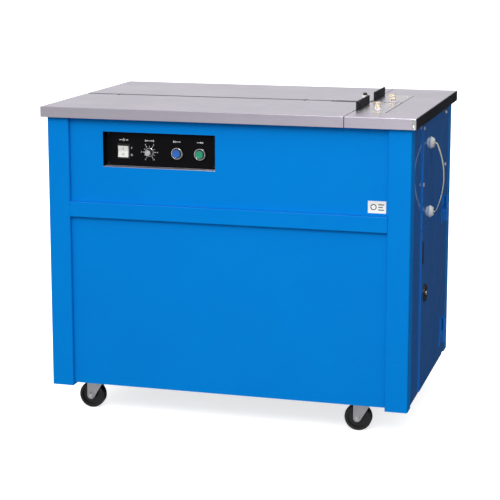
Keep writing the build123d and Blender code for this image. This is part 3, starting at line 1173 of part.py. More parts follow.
# ================================================================ strap pool and feed rollers
REEL_RADIUS = 158.0
REEL_FLOOR_GAP = 11.0
REEL_Z = BASE_TOP + REEL_FLOOR_GAP + REEL_RADIUS
POOL_CLEARANCE = 55.0
POOL_RIGHT = HEAD_LEFT - 30.0
POOL_LEFT = POOL_RIGHT - 360.0
POOL_FRONT = STRAP_Y - 32.0
POOL_BACK = STRAP_Y + 32.0
POOL_BOTTOM = REEL_Z + REEL_RADIUS + POOL_CLEARANCE
POOL_WALL = 1.5
FEED_ROLLER_X = POOL_RIGHT - 40.0
FEED_ROLLER_Z = TABLE_HEIGHT - 110.0
FEED_ROLLER_RADIUS = 22.0
PRESSURE_ROLLER_RADIUS = 18.0
ROLLER_NIP = 1.0
ROLLER_END_GAP = 4.0
ROLLER_SHAFT_RADIUS = 5.0
ROLLER_SHAFT_OUT = 4.0
PRESSURE_ROLLER_Z = FEED_ROLLER_Z + FEED_ROLLER_RADIUS + ROLLER_NIP + PRESSURE_ROLLER_RADIUS

with BuildPart() as pool_box:
    box_between(POOL_LEFT, POOL_RIGHT, POOL_FRONT, POOL_BACK, POOL_BOTTOM, RAIL_BOTTOM)
    mouth = pool_box.faces().sort_by(Axis.Z)[-1]
    offset(amount=-POOL_WALL, openings=mouth, kind=Kind.INTERSECTION)
    with BuildSketch(Plane.XZ.offset(-POOL_FRONT + 1)):
        for roller_z in (FEED_ROLLER_Z, PRESSURE_ROLLER_Z):
            with Locations((FEED_ROLLER_X, roller_z)):
                Circle(ROLLER_SHAFT_RADIUS + RUN_GAP)
    extrude(amount=POOL_FRONT - POOL_BACK - 2, mode=Mode.SUBTRACT)
save(pool_box, "pool_box")

for name, roller_z, roller_radius in (
    ("feed_roller", FEED_ROLLER_Z, FEED_ROLLER_RADIUS),
    ("pressure_roller", PRESSURE_ROLLER_Z, PRESSURE_ROLLER_RADIUS),
):
    with BuildPart() as roller:
        roller_front = POOL_FRONT + POOL_WALL + ROLLER_END_GAP
        roller_back = POOL_BACK - POOL_WALL - ROLLER_END_GAP
        with BuildSketch(Plane.XZ.offset(-roller_front)):
            with Locations((FEED_ROLLER_X, roller_z)):
                Circle(roller_radius)
        extrude(amount=roller_front - roller_back)
        with BuildSketch(Plane.XZ.offset(-POOL_FRONT + ROLLER_SHAFT_OUT)):
            with Locations((FEED_ROLLER_X, roller_z)):
                Circle(ROLLER_SHAFT_RADIUS)
        extrude(amount=POOL_FRONT - POOL_BACK - 2 * ROLLER_SHAFT_OUT)
    save(roller, name)

# ================================================================ strap reel
REEL_Y = (DOOR_FRONT + DOOR_BACK) / 2
REEL_LEFT = HEAD_LEFT - 44.0
REEL_WIDTH = 194.0
REEL_SHEET = 3.0
DRUM_RADIUS = 97.0
DRUM_WALL = 5.0
HUB_RADIUS = 25.0
REEL_SHAFT_RADIUS = 15.0
LIGHTENING_RADIUS = 20.0
LIGHTENING_PITCH = 58.0
COIL_RADIUS = REEL_RADIUS - 8.0
REEL_SLOT_LENGTH = 32.0
REEL_SLOT_WIDTH = 16.0
REEL_SLOT_TURN = 30
COIL_SIDE_GAP = 0.5
STAND_X = REEL_LEFT - 16.0
STAND_PLATE = 6.0
STAND_FOOT_LENGTH = 70.0
STAND_FOOT_DEPTH = 120.0
STAND_HEAD_RADIUS = 30.0
STAND_FOOT_SHEET = 4.0
STAND_ROOT_RISE = 6.0
STAND_COLLAR_RADIUS = REEL_SHAFT_RADIUS + 7.0
REEL_NUT_RADIUS = REEL_SHAFT_RADIUS + 9.0
REEL_NUT_LENGTH = 8.0
REEL_SHAFT_OUT = 12.0

with BuildPart() as reel_stand:
    box_between(
        STAND_X - STAND_FOOT_LENGTH / 2, STAND_X + STAND_FOOT_LENGTH / 2,
        REEL_Y - STAND_FOOT_DEPTH / 2, REEL_Y + STAND_FOOT_DEPTH / 2,
        BASE_TOP, BASE_TOP + STAND_FOOT_SHEET,
    )
    with BuildSketch(Plane.YZ.offset(STAND_X)):
        with Locations((REEL_Y, REEL_Z)):
            Circle(STAND_HEAD_RADIUS)
        with Locations((REEL_Y, BASE_TOP + STAND_FOOT_SHEET + STAND_ROOT_RISE / 2)):
            Rectangle(STAND_FOOT_DEPTH, STAND_ROOT_RISE)
        make_hull()
    extrude(amount=STAND_PLATE)
    with BuildSketch(Plane.YZ.offset(STAND_X + STAND_PLATE)):
        with Locations((REEL_Y, REEL_Z)):
            Circle(STAND_COLLAR_RADIUS)
    extrude(amount=REEL_LEFT - SEAT_GAP - STAND_X - STAND_PLATE)
    with BuildSketch(Plane.YZ.offset(STAND_X + STAND_PLATE)):
        with Locations((REEL_Y, REEL_Z)):
            Circle(REEL_SHAFT_RADIUS)
    extrude(amount=REEL_LEFT + REEL_WIDTH + REEL_SHAFT_OUT - STAND_X - STAND_PLATE)
    with BuildSketch(Plane.YZ.offset(REEL_LEFT + REEL_WIDTH + SEAT_GAP)):
        with Locations((REEL_Y, REEL_Z)):
            RegularPolygon(REEL_NUT_RADIUS, 6)
    extrude(amount=REEL_NUT_LENGTH)
save(reel_stand, "reel_stand")

with BuildPart() as strap_reel:
    for flange_x in (REEL_LEFT, REEL_LEFT + REEL_WIDTH - REEL_SHEET):
        with BuildSketch(Plane.YZ.offset(flange_x)):
            with Locations((REEL_Y, REEL_Z)):
                Circle(REEL_RADIUS)
                with PolarLocations(LIGHTENING_PITCH, 6):
                    Circle(LIGHTENING_RADIUS, mode=Mode.SUBTRACT)
                with PolarLocations((DRUM_RADIUS + REEL_RADIUS) / 2, 6, start_angle=REEL_SLOT_TURN):
                    SlotOverall(REEL_SLOT_LENGTH, REEL_SLOT_WIDTH, mode=Mode.SUBTRACT)
        extrude(amount=REEL_SHEET)
    with BuildSketch(Plane.YZ.offset(REEL_LEFT)):
        with Locations((REEL_Y, REEL_Z)):
            Circle(DRUM_RADIUS)
            Circle(DRUM_RADIUS - DRUM_WALL, mode=Mode.SUBTRACT)
            Circle(HUB_RADIUS)
    extrude(amount=REEL_WIDTH)
    with BuildSketch(Plane.YZ.offset(REEL_LEFT - 1)):
        with Locations((REEL_Y, REEL_Z)):
            Circle(REEL_SHAFT_RADIUS + RUN_GAP)
    extrude(amount=REEL_WIDTH + 2, mode=Mode.SUBTRACT)
save(strap_reel, "strap_reel")

with BuildPart() as strap_coil:
    with BuildSketch(Plane.YZ.offset(REEL_LEFT + REEL_SHEET + COIL_SIDE_GAP)):
        with Locations((REEL_Y, REEL_Z)):
            Circle(COIL_RADIUS)
            Circle(DRUM_RADIUS + SEAT_GAP, mode=Mode.SUBTRACT)
    extrude(amount=REEL_WIDTH - 2 * REEL_SHEET - 2 * COIL_SIDE_GAP)
save(strap_coil, "strap_coil")
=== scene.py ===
"""Looks of a semi automatic strapping machine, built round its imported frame."""

import json
import logging
import math
from dataclasses import dataclass
from enum import Enum
from typing import Callable, Sequence

import bpy
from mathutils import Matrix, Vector


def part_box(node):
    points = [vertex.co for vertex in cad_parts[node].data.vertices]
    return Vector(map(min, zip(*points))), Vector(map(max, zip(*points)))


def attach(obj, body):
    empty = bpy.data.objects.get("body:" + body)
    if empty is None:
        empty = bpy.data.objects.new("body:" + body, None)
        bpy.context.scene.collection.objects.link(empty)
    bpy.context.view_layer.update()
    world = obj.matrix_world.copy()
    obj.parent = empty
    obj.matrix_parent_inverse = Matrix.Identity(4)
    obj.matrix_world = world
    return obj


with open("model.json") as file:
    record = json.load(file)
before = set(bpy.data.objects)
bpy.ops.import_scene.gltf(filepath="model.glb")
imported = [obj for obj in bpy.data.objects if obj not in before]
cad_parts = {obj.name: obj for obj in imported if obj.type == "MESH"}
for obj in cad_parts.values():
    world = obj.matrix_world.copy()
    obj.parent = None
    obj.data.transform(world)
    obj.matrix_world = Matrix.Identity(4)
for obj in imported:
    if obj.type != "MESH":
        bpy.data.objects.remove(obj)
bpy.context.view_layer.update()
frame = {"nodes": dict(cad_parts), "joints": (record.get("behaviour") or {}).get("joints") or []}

logging.basicConfig(level=logging.INFO, format="%(name)s: %(message)s")
LOG = logging.getLogger("strapping_machine")

Point = tuple[float, float, float]
Colour = tuple[float, float, float]
FaceRule = Callable[[Vector, Vector], bool]
Piece = bpy.types.Object
Node = bpy.types.Node
Socket = bpy.types.NodeSocket
Tree = bpy.types.NodeTree

MM = 0.001
SAME_WAY = 0.9
FLAT = 0.99
SMOOTH_ANGLE = math.radians(32)
BEVEL_ANGLE = math.radians(40)
DUST_COLOUR = (0.42, 0.40, 0.38, 1.0)


class Axis(Enum):
    """Which way a round primitive points, as its Euler turn."""

    X = (0.0, math.pi / 2, 0.0)
    Y = (math.pi / 2, 0.0, 0.0)
    Z = (0.0, 0.0, 0.0)


class Side(Enum):
    """Which way a face looks, as its outward normal."""

    RIGHT = (1.0, 0.0, 0.0)
    LEFT = (-1.0, 0.0, 0.0)
    FRONT = (0.0, -1.0, 0.0)
    TOP = (0.0, 0.0, 1.0)
    BOTTOM = (0.0, 0.0, -1.0)


class Grain(Enum):
    """The way a surface texture is stretched, as a scale along X, Y and Z."""

    EVEN = (1.0, 1.0, 1.0)
    ALONG_X = (0.02, 1.0, 1.0)
    ALONG_Y = (1.0, 0.02, 1.0)


# ------------------------------------------------------------------ shader groups


class Graph:
    """A node tree that is filled in code."""

    def __init__(self, tree: Tree) -> None:
        """Args: tree: the tree that gets the nodes."""
        self.tree = tree

    def add(self, kind: str, **values: object) -> Node:
        """Adds a node and sets its properties.

        Args:
            kind: the node's type name without its prefix.
            values: properties of the node.
        Returns:
            The new node.
        """
        node = self.tree.nodes.new("ShaderNode" + kind)
        for key, value in values.items():
            setattr(node, key, value)
        return node

    def feed(self, node: Node, socket: str | int, value: object) -> None:
        """Links an output socket to an input, or sets the input to a constant.

        Args:
            node: the node that takes it.
            socket: the input's name or number.
            value: an output socket, or a number, colour or vector.
        """
        target = node.inputs[socket]
        if isinstance(value, Socket):
            self.tree.links.new(value, target)
        else:
            target.default_value = value

    def feed_all(self, node: Node, values: dict[str | int, object]) -> Node:
        """Feeds several inputs of a node.

        Args:
            node: the node that takes them.
            values: what each input gets, by its name or number.
        Returns:
            The node.
        """
        for socket, value in values.items():
            self.feed(node, socket, value)
        return node

    def math(self, operation: str, first: object, second: object = 0.0) -> Socket:
        """Adds a Math node with two operands.

        Args:
            operation: the node's operation.
            first: its first operand.
            second: its second operand.
        Returns:
            The node's output.
        """
        return self.feed_all(self.add("Math", operation=operation), {0: first, 1: second}).outputs[0]

    def ramp(self, value: object, low: float, high: float, start: float, end: float) -> Socket:
        """Maps a value from one span to another, clamped.

        Args:
            value: the value.
            low: the first end of its span.
            high: the other end of its span.
            start: the result at low.
            end: the result at high.
        Returns:
            The mapped value.
        """
        return self.feed_all(self.add("MapRange"), dict(enumerate((value, low, high, start, end)))).outputs[0]

    def mix(self, share: object, first: object, second: object) -> Socket:
        """Blends two colours.

        Args:
            share: how much of the second is seen.
            first: the first colour.
            second: the second colour.
        Returns:
            The blended colour.
        """
        return self.feed_all(self.add("Mix", data_type="RGBA"), {0: share, 6: first, 7: second}).outputs[2]

    def vector_math(self, operation: str, first: object, second: object) -> Node:
        """Returns a Vector Math node with two operands."""
        return self.feed_all(self.add("VectorMath", operation=operation), {0: first, 1: second})

    def noise(self, vector: object, scale: object, detail: float, roughness: float = 0.5) -> Socket:
        """Adds a Noise texture.

        Args:
            vector: the place it reads.
            scale: its scale.
            detail: its octaves.
            roughness: how strong its finer octaves are.
        Returns:
            Its value.
        """
        values = {"Vector": vector, "Scale": scale, "Detail": detail, "Roughness": roughness}
        return self.feed_all(self.add("TexNoise"), values).outputs[0]


class ShaderKit:
    """The effects that several finishes share, each one node group."""

    def __init__(self) -> None:
        """Builds every group once."""
        self.grain = self.build_grain()
        self.wear = self.build_wear()
        self.smudge = self.build_smudge()
        self.dust = self.build_dust()
        self.peel = self.build_peel()

    @staticmethod
    def start(name: str, inputs: dict[str, object], *outputs: str) -> tuple[Tree, Graph, Node, Node]:
        """Makes an empty group with named sockets.

        Args:
            name: the group's name.
            inputs: each input's name and default, which is a number, or a vector or None for a vector.
            outputs: each output's name; all are numbers.
        Returns:
            The group, its graph, its input node and its output node.
        """
        tree = bpy.data.node_groups.new(name, "ShaderNodeTree")
        for label, value in inputs.items():
            kind = "NodeSocketFloat" if isinstance(value, float) else "NodeSocketVector"
            socket = tree.interface.new_socket(name=label, in_out="INPUT", socket_type=kind)
            if value is not None:
                socket.default_value = value
        for label in outputs:
            tree.interface.new_socket(name=label, in_out="OUTPUT", socket_type="NodeSocketFloat")
        graph = Graph(tree)
        return tree, graph, tree.nodes.new("NodeGroupInput"), tree.nodes.new("NodeGroupOutput")

    def build_grain(self) -> Tree:
        """Builds the group for stretched grain: fine streaks with broad bands.

        Returns:
            The group.
        """
        tree, graph, inner, outer = self.start(
            "grain", {"Vector": None, "Stretch": (1.0, 1.0, 1.0), "Scale": 900.0}, "Streaks", "Bands",
        )
        pulled = graph.vector_math("MULTIPLY", inner.outputs["Vector"], inner.outputs["Stretch"])
        fine = graph.noise(pulled.outputs[0], inner.outputs["Scale"], 3.0, 0.6)
        broad = graph.noise(pulled.outputs[0], graph.math("MULTIPLY", inner.outputs["Scale"], 0.08), 2.0)
        graph.feed(outer, "Streaks", graph.ramp(fine, 0.3, 0.7, 0.0, 1.0))
        graph.feed(outer, "Bands", graph.ramp(broad, 0.3, 0.7, 0.0, 1.0))
        return tree

    def build_wear(self) -> Tree:
        """Builds the group for rubbed edges: a broken mask along convex edges.

        Returns:
            The group.
        """
        tree, graph, inner, outer = self.start("edge_wear", {"Vector": None, "Width": 0.0012, "Amount": 0.5}, "Mask")
        rounded = graph.add("Bevel", samples=4)
        graph.feed(rounded, "Radius", inner.outputs["Width"])
        flat = graph.add("NewGeometry")
        lean = graph.vector_math("DOT_PRODUCT", rounded.outputs[0], flat.outputs["Normal"])
        edge = graph.ramp(lean.outputs["Value"], 0.98, 0.85, 0.0, 1.0)
        broken = graph.ramp(graph.noise(inner.outputs["Vector"], 60.0, 4.0), 0.4, 0.65, 0.15, 1.0)
        graph.feed(outer, "Mask", graph.math("MULTIPLY", graph.math("MULTIPLY", edge, broken), inner.outputs["Amount"]))
        return tree

    def build_smudge(self) -> Tree:
        """Builds the group for handling marks: soft blotches crossed by faint wipes.

        Returns:
            The group.
        """
        tree, graph, inner, outer = self.start(
            "smudges", {"Vector": None, "Scale": 6.0, "Low": 0.25, "High": 0.35}, "Roughness", "Mask",
        )
        blotch = graph.noise(inner.outputs["Vector"], inner.outputs["Scale"], 5.0, 0.55)
        coarse = graph.math("MULTIPLY", inner.outputs["Scale"], 3.5)
        swirl = graph.feed_all(graph.add("TexNoise"), {
            "Vector": inner.outputs["Vector"], "Scale": coarse, "Detail": 6.0, "Distortion": 1.4,
        })
        both = graph.math("ADD", graph.math("MULTIPLY", blotch, 0.65), graph.math("MULTIPLY", swirl.outputs[0], 0.35))
        mask = graph.ramp(both, 0.38, 0.62, 0.0, 1.0)
        graph.feed(outer, "Mask", mask)
        span = graph.math("SUBTRACT", inner.outputs["High"], inner.outputs["Low"])
        graph.feed(outer, "Roughness", graph.math("ADD", graph.math("MULTIPLY", mask, span), inner.outputs["Low"]))
        return tree

    def build_dust(self) -> Tree:
        """Builds the group for settled dust: a mask on faces that look up.

        Returns:
            The group.
        """
        tree, graph, inner, outer = self.start("dust", {"Vector": None, "Amount": 0.2}, "Mask")
        surface = graph.add("NewGeometry")
        parts = graph.add("SeparateXYZ")
        graph.feed(parts, 0, surface.outputs["Normal"])
        up = graph.ramp(parts.outputs[2], 0.3, 0.95, 0.0, 1.0)
        patch = graph.ramp(graph.noise(inner.outputs["Vector"], 25.0, 6.0, 0.65), 0.35, 0.7, 0.2, 1.0)
        graph.feed(outer, "Mask", graph.math("MULTIPLY", graph.math("MULTIPLY", up, patch), inner.outputs["Amount"]))
        return tree

    def build_peel(self) -> Tree:
        """Builds the group for a sprayed or moulded skin: fine peel with rare nibs.

        Returns:
            The group.
        """
        tree, graph, inner, outer = self.start("peel", {"Vector": None, "Scale": 350.0}, "Height", "Nibs")
        soft = graph.noise(inner.outputs["Vector"], inner.outputs["Scale"], 2.0)
        cells = graph.add("TexVoronoi", feature="F1")
        graph.feed(cells, "Vector", inner.outputs["Vector"])
        graph.feed(cells, "Scale", graph.math("MULTIPLY", inner.outputs["Scale"], 0.35))
        nib = graph.ramp(cells.outputs["Distance"], 0.0, 0.12, 1.0, 0.0)
        graph.feed(outer, "Nibs", nib)
        graph.feed(outer, "Height", graph.math("ADD", soft, graph.math("MULTIPLY", nib, 0.15)))
        return tree


# ------------------------------------------------------------------ finishes


@dataclass(frozen=True)
class Finish:
    """A finish with smudged gloss, edge wear, dust and a fine relief.

    slot is the record's material slot that the finish belongs to, where that isn't its own name.
    """

    name: str
    colour: Colour
    rough: tuple[float, float] = (0.3, 0.4)
    metallic: float = 0.0
    specular: float = 0.5
    coat: float = 0.0
    coat_rough: float = 0.08
    smudge_scale: float = 6.0
    tint: Colour = (0.0, 0.0, 0.0)
    tint_share: float = 0.12
    worn: Colour = (0.6, 0.6, 0.6)
    wear: float = 0.3
    wear_width: float = 0.0010
    dust: float = 0.08
    grain: Grain = Grain.EVEN
    grain_scale: float = 900.0
    grain_depth: float = 0.0
    peel_scale: float = 350.0
    peel_depth: float = 0.02
    peel_distance: float = 0.0004
    slot: str = ""

    def relief(self, graph: Graph, vector: Socket, peel: Node, grain: Node) -> Socket:
        """Adds the peel and the grain by their depths.

        Args:
            graph: the material's graph.
            vector: the place on the object; not used here.
            peel: the peel group.
            grain: the grain group.
        Returns:
            The bump height.
        """
        skin = graph.math("MULTIPLY", peel.outputs["Height"], self.peel_depth)
        lines = graph.math("MULTIPLY", grain.outputs["Streaks"], self.grain_depth)
        return graph.math("ADD", skin, lines)

    def shade(self, graph: Graph, vector: Socket, base: Socket) -> Socket:
        """Returns the base colour with whatever pattern the finish adds."""
        return base

    def make(self, kit: ShaderKit) -> bpy.types.Material:
        """Builds the material.

        Args:
            kit: the shared shader groups.
        Returns:
            The new material.
        """
        material = bpy.data.materials.new(self.name)
        material.use_nodes = True
        tree = material.node_tree
        tree.nodes.clear()
        graph = Graph(tree)
        place = graph.add("TexCoord").outputs["Object"]

        def group(source: Tree, **values: object) -> Node:
            """Adds one shared group with this finish's values.

            Args:
                source: the shared group.
                values: its inputs by name.
            Returns:
                The group node.
            """
            node = graph.add("Group", node_tree=source)
            graph.feed(node, "Vector", place)
            for key, value in values.items():
                graph.feed(node, key, value)
            return node

        grain = group(kit.grain, Stretch=self.grain.value, Scale=self.grain_scale)
        smudge = group(kit.smudge, Scale=self.smudge_scale, Low=self.rough[0], High=self.rough[1])
        wear = group(kit.wear, Width=self.wear_width, Amount=self.wear)
        dust = group(kit.dust, Amount=self.dust)
        peel = group(kit.peel, Scale=self.peel_scale)
        base = graph.mix(
            graph.math("MULTIPLY", smudge.outputs["Mask"], self.tint_share), (*self.colour, 1.0), (*self.tint, 1.0),
        )
        base = self.shade(graph, place, base)
        if self.grain_depth:
            streak = graph.ramp(grain.outputs["Bands"], 0.0, 1.0, 0.0, 0.10)
            base = graph.mix(streak, base, (*(0.55 * c for c in self.colour), 1.0))
        base = graph.mix(wear.outputs["Mask"], base, (*self.worn, 1.0))
        base = graph.mix(dust.outputs["Mask"], base, DUST_COLOUR)
        rough = graph.math("ADD", smudge.outputs["Roughness"], graph.math("MULTIPLY", dust.outputs["Mask"], 0.3))
        if self.grain_depth:
            rough = graph.math("ADD", rough, graph.math("MULTIPLY", grain.outputs["Streaks"], 0.08))
        height = self.relief(graph, place, peel, grain)
        bump = graph.feed_all(graph.add("Bump"), {"Strength": 1.0, "Distance": self.peel_distance, "Height": height})
        shader = graph.feed_all(graph.add("BsdfPrincipled"), {
            "Base Color": base, "Roughness": rough, "Normal": bump.outputs[0], "Metallic": self.metallic,
            "Specular IOR Level": self.specular, "Coat Weight": self.coat, "Coat Roughness": self.coat_rough,
        })
        graph.feed(graph.add("OutputMaterial"), 0, shader.outputs[0])
        return material


@dataclass(frozen=True)
class Plated(Finish):
    """Bright zinc plate: faint spangle in its colour and gloss."""

    spangle: float = 90.0

    def shade(self, graph: Graph, vector: Socket, base: Socket) -> Socket:
        """Adds the plate's crystals to the colour.

        Args:
            graph: the material's graph.
            vector: the place on the object.
            base: the plain colour.
        Returns:
            The colour.
        """
        cells = graph.add("TexVoronoi", feature="F1")
        graph.feed(cells, "Vector", vector)
        graph.feed(cells, "Scale", self.spangle)
        parts = graph.add("SeparateColor")
        graph.feed(parts, 0, cells.outputs["Color"])
        share = graph.math("MULTIPLY", parts.outputs[0], 0.28)
        return graph.mix(share, base, (*(0.5 * c for c in self.colour), 1.0))


@dataclass(frozen=True)
class Embossed(Finish):
    """Strapping tape: a pressed lattice over its whole face."""

    pitch: float = 420.0

    def relief(self, graph: Graph, vector: Socket, peel: Node, grain: Node) -> Socket:
        """Adds the pressed lattice to the relief.

        Args:
            graph: the material's graph.
            vector: the place on the object.
            peel: the peel group.
            grain: the grain group; not used here.
        Returns:
            The bump height.
        """
        turned = graph.add("Mapping")
        graph.feed(turned, "Vector", vector)
        turned.inputs["Rotation"].default_value = (math.radians(45), math.radians(45), 0.0)
        cells = graph.add("TexVoronoi", feature="F1", distance="CHEBYCHEV")
        graph.feed(cells, "Vector", turned.outputs[0])
        graph.feed(cells, "Scale", self.pitch)
        graph.feed(cells, "Randomness", 0.0)
        return graph.math(
            "ADD", graph.math("MULTIPLY", cells.outputs["Distance"], 0.5),
            graph.math("MULTIPLY", peel.outputs["Height"], self.peel_depth),
        )


@dataclass(frozen=True)
class Paint(Finish):
    """Powder coat on sheet steel: paler scuffs low down."""

    scuff: Colour = (0.05, 0.32, 0.72)
    scuff_top: float = 0.30

    def shade(self, graph: Graph, vector: Socket, base: Socket) -> Socket:
        """Adds scuffs that thin out with height.

        Args:
            graph: the material's graph.
            vector: the place on the object.
            base: the plain colour.
        Returns:
            The colour.
        """
        parts = graph.add("SeparateXYZ")
        graph.feed(parts, 0, vector)
        low = graph.ramp(parts.outputs[2], self.scuff_top, 0.07, 0.0, 1.0)
        stretched = graph.vector_math("MULTIPLY", vector, (1.0, 1.0, 5.0))
        marks = graph.ramp(graph.noise(stretched.outputs[0], 22.0, 8.0, 0.7), 0.60, 0.72, 0.0, 1.0)
        return graph.mix(graph.math("MULTIPLY", graph.math("MULTIPLY", low, marks), 0.25), base, (*self.scuff, 1.0))


FINISHES: tuple[Finish, ...] = (
    Paint(
        "blue_paint", (0.0, 0.205, 0.64), rough=(0.34, 0.42), specular=0.02, coat=0.07, coat_rough=0.05,
        tint=(0.0, 0.17, 0.58), tint_share=0.25, worn=(0.12, 0.38, 0.78), wear=0.35, dust=0.04, peel_scale=420.0,
        peel_depth=0.05,
    ),
    # Right-side blue: the cabinet's powder coat under a real glossy clear coat, with a darker base colour and tint that
    # are painted shade for the side facing away from the lamps.
    Paint(
        "blue_gloss_painted_shade", (0.0, 0.150, 0.56), rough=(0.30, 0.38), specular=0.02, coat=0.9, coat_rough=0.03,
        tint=(0.0, 0.13, 0.50), tint_share=0.25, worn=(0.12, 0.38, 0.78), wear=0.35, dust=0.03, peel_scale=300.0,
        peel_depth=0.02,
    ),
    Finish(
        "stainless", (0.68, 0.635, 0.735), rough=(0.26, 0.34), metallic=1.0, smudge_scale=5.0, tint=(0.58, 0.56, 0.63),
        tint_share=0.5, worn=(0.95, 0.94, 0.97), wear=0.8, wear_width=0.0012, dust=0.03, grain=Grain.ALONG_X,
        grain_scale=1400.0, grain_depth=0.35, peel_depth=0.0, peel_distance=0.00012,
    ),
    Finish(
        "stainless_cross", (0.74, 0.71, 0.76), rough=(0.22, 0.30), metallic=1.0, tint=(0.62, 0.60, 0.66),
        tint_share=0.4, worn=(0.97, 0.96, 0.98), wear=0.9, wear_width=0.0010, dust=0.02, grain=Grain.ALONG_Y,
        grain_scale=1400.0, grain_depth=0.35, peel_depth=0.0, peel_distance=0.00012,
    ),
    Finish(
        "black_steel", (0.006, 0.008, 0.013), rough=(0.34, 0.46), specular=0.22, worn=(0.16, 0.16, 0.18), wear=0.3,
        dust=0.03, peel_scale=700.0, peel_depth=0.10,
    ),
    Finish(
        "panel_black", (0.0035, 0.0035, 0.0045), rough=(0.30, 0.42), specular=0.08, worn=(0.10, 0.10, 0.11), wear=0.25,
        dust=0.01, peel_scale=900.0, peel_depth=0.06,
    ),
    Plated(
        "zinc", (0.60, 0.60, 0.63), rough=(0.22, 0.36), metallic=1.0, tint=(0.46, 0.46, 0.48), tint_share=0.4,
        worn=(0.86, 0.86, 0.88), wear=0.6, dust=0.06,
    ),
    Finish(
        "black_wheel", (0.004, 0.004, 0.005), rough=(0.10, 0.20), specular=0.35, coat=0.25, coat_rough=0.04,
        tint=(0.03, 0.03, 0.03), tint_share=0.5, worn=(0.05, 0.05, 0.05), wear=0.3, dust=0.05, peel_depth=0.03,
    ),
    Finish(
        "cast_aluminium", (0.56, 0.57, 0.58), rough=(0.36, 0.52), metallic=1.0, tint=(0.42, 0.43, 0.44), tint_share=0.6,
        worn=(0.82, 0.82, 0.84), wear=0.7, dust=0.10, peel_scale=500.0, peel_depth=0.5, grain=Grain.ALONG_Y,
        grain_scale=700.0, grain_depth=0.15,
    ),
    Finish(
        "motor_paint", (0.075, 0.085, 0.095), rough=(0.40, 0.55), coat=0.15, tint=(0.05, 0.055, 0.06),
        worn=(0.35, 0.35, 0.36), wear=0.45, dust=0.15, peel_scale=260.0, peel_depth=0.25,
    ),
    Finish(
        "tool_steel", (0.40, 0.40, 0.43), rough=(0.18, 0.30), metallic=1.0, tint=(0.25, 0.22, 0.20), tint_share=0.3,
        worn=(0.85, 0.85, 0.87), wear=0.9, grain=Grain.ALONG_X, grain_scale=2200.0, grain_depth=0.4,
        peel_distance=0.0001,
    ),
    Finish(
        "brass", (0.83, 0.72, 0.46), rough=(0.16, 0.30), metallic=1.0, tint=(0.55, 0.42, 0.22), tint_share=0.35,
        worn=(1.0, 0.95, 0.78), wear=0.8, peel_depth=0.05,
    ),
    Finish(
        "white_plastic", (0.80, 0.80, 0.77), rough=(0.22, 0.34), coat=0.2, tint=(0.66, 0.65, 0.60), tint_share=0.3,
        worn=(0.92, 0.92, 0.9), wear=0.3, peel_scale=800.0, peel_depth=0.04,
    ),
    Embossed(
        "strap_plastic", (0.80, 0.76, 0.60), rough=(0.34, 0.46), tint=(0.66, 0.60, 0.42), tint_share=0.4,
        worn=(0.9, 0.88, 0.8), wear=0.3, peel_depth=0.1,
    ),
    Finish(
        "black_plastic", (0.011, 0.011, 0.012), rough=(0.34, 0.48), tint=(0.04, 0.04, 0.04), tint_share=0.3,
        worn=(0.09, 0.09, 0.09), wear=0.5, peel_scale=900.0, peel_depth=0.18,
    ),
    Finish(
        "blue_button", (0.010, 0.12, 0.50), rough=(0.16, 0.26), coat=0.5, tint=(0.01, 0.09, 0.36), tint_share=0.4,
        worn=(0.2, 0.4, 0.8), wear=0.3, peel_depth=0.03,
    ),
    Finish(
        "green_button", (0.008, 0.30, 0.16), rough=(0.16, 0.26), coat=0.5, tint=(0.01, 0.20, 0.10), tint_share=0.4,
        worn=(0.2, 0.6, 0.4), wear=0.3, peel_depth=0.03,
    ),
    Finish(
        "black_rubber", (0.018, 0.018, 0.018), rough=(0.62, 0.78), specular=0.3, tint=(0.06, 0.058, 0.055),
        tint_share=0.5, worn=(0.08, 0.08, 0.08), wear=0.4, dust=0.12, peel_scale=500.0, peel_depth=0.4,
    ),
    Finish(
        "grey_plastic", (0.11, 0.115, 0.12), rough=(0.38, 0.52), tint=(0.08, 0.082, 0.085), tint_share=0.5,
        worn=(0.3, 0.3, 0.3), wear=0.4, dust=0.1, peel_scale=700.0, peel_depth=0.15,
    ),
    Finish(
        "chrome", (0.88, 0.88, 0.90), slot="zinc", rough=(0.04, 0.12), metallic=1.0, tint=(0.7, 0.7, 0.72),
        tint_share=0.3, worn=(1.0, 1.0, 1.0), wear=0.2, peel_depth=0.01,
    ),
    Finish(
        "white_ink", (0.82, 0.82, 0.80), slot="white_plastic", rough=(0.45, 0.6), tint=(0.62, 0.62, 0.60),
        tint_share=0.4, wear=0.0, dust=0.0, peel_scale=1200.0, peel_depth=0.1,
    ),
    Finish(
        "label_film", (0.86, 0.86, 0.85), slot="white_plastic", rough=(0.30, 0.42), coat=0.2, tint=(0.74, 0.74, 0.72),
        tint_share=0.4, worn=(0.6, 0.6, 0.58), wear=0.4, dust=0.0, peel_scale=600.0, peel_depth=0.06,
    ),
    Finish(
        "black_ink", (0.02, 0.02, 0.022), slot="black_plastic", rough=(0.45, 0.6), tint=(0.05, 0.05, 0.05),
        tint_share=0.4, wear=0.0, dust=0.0, peel_scale=1200.0, peel_depth=0.1,
    ),
)


# ------------------------------------------------------------------ bench


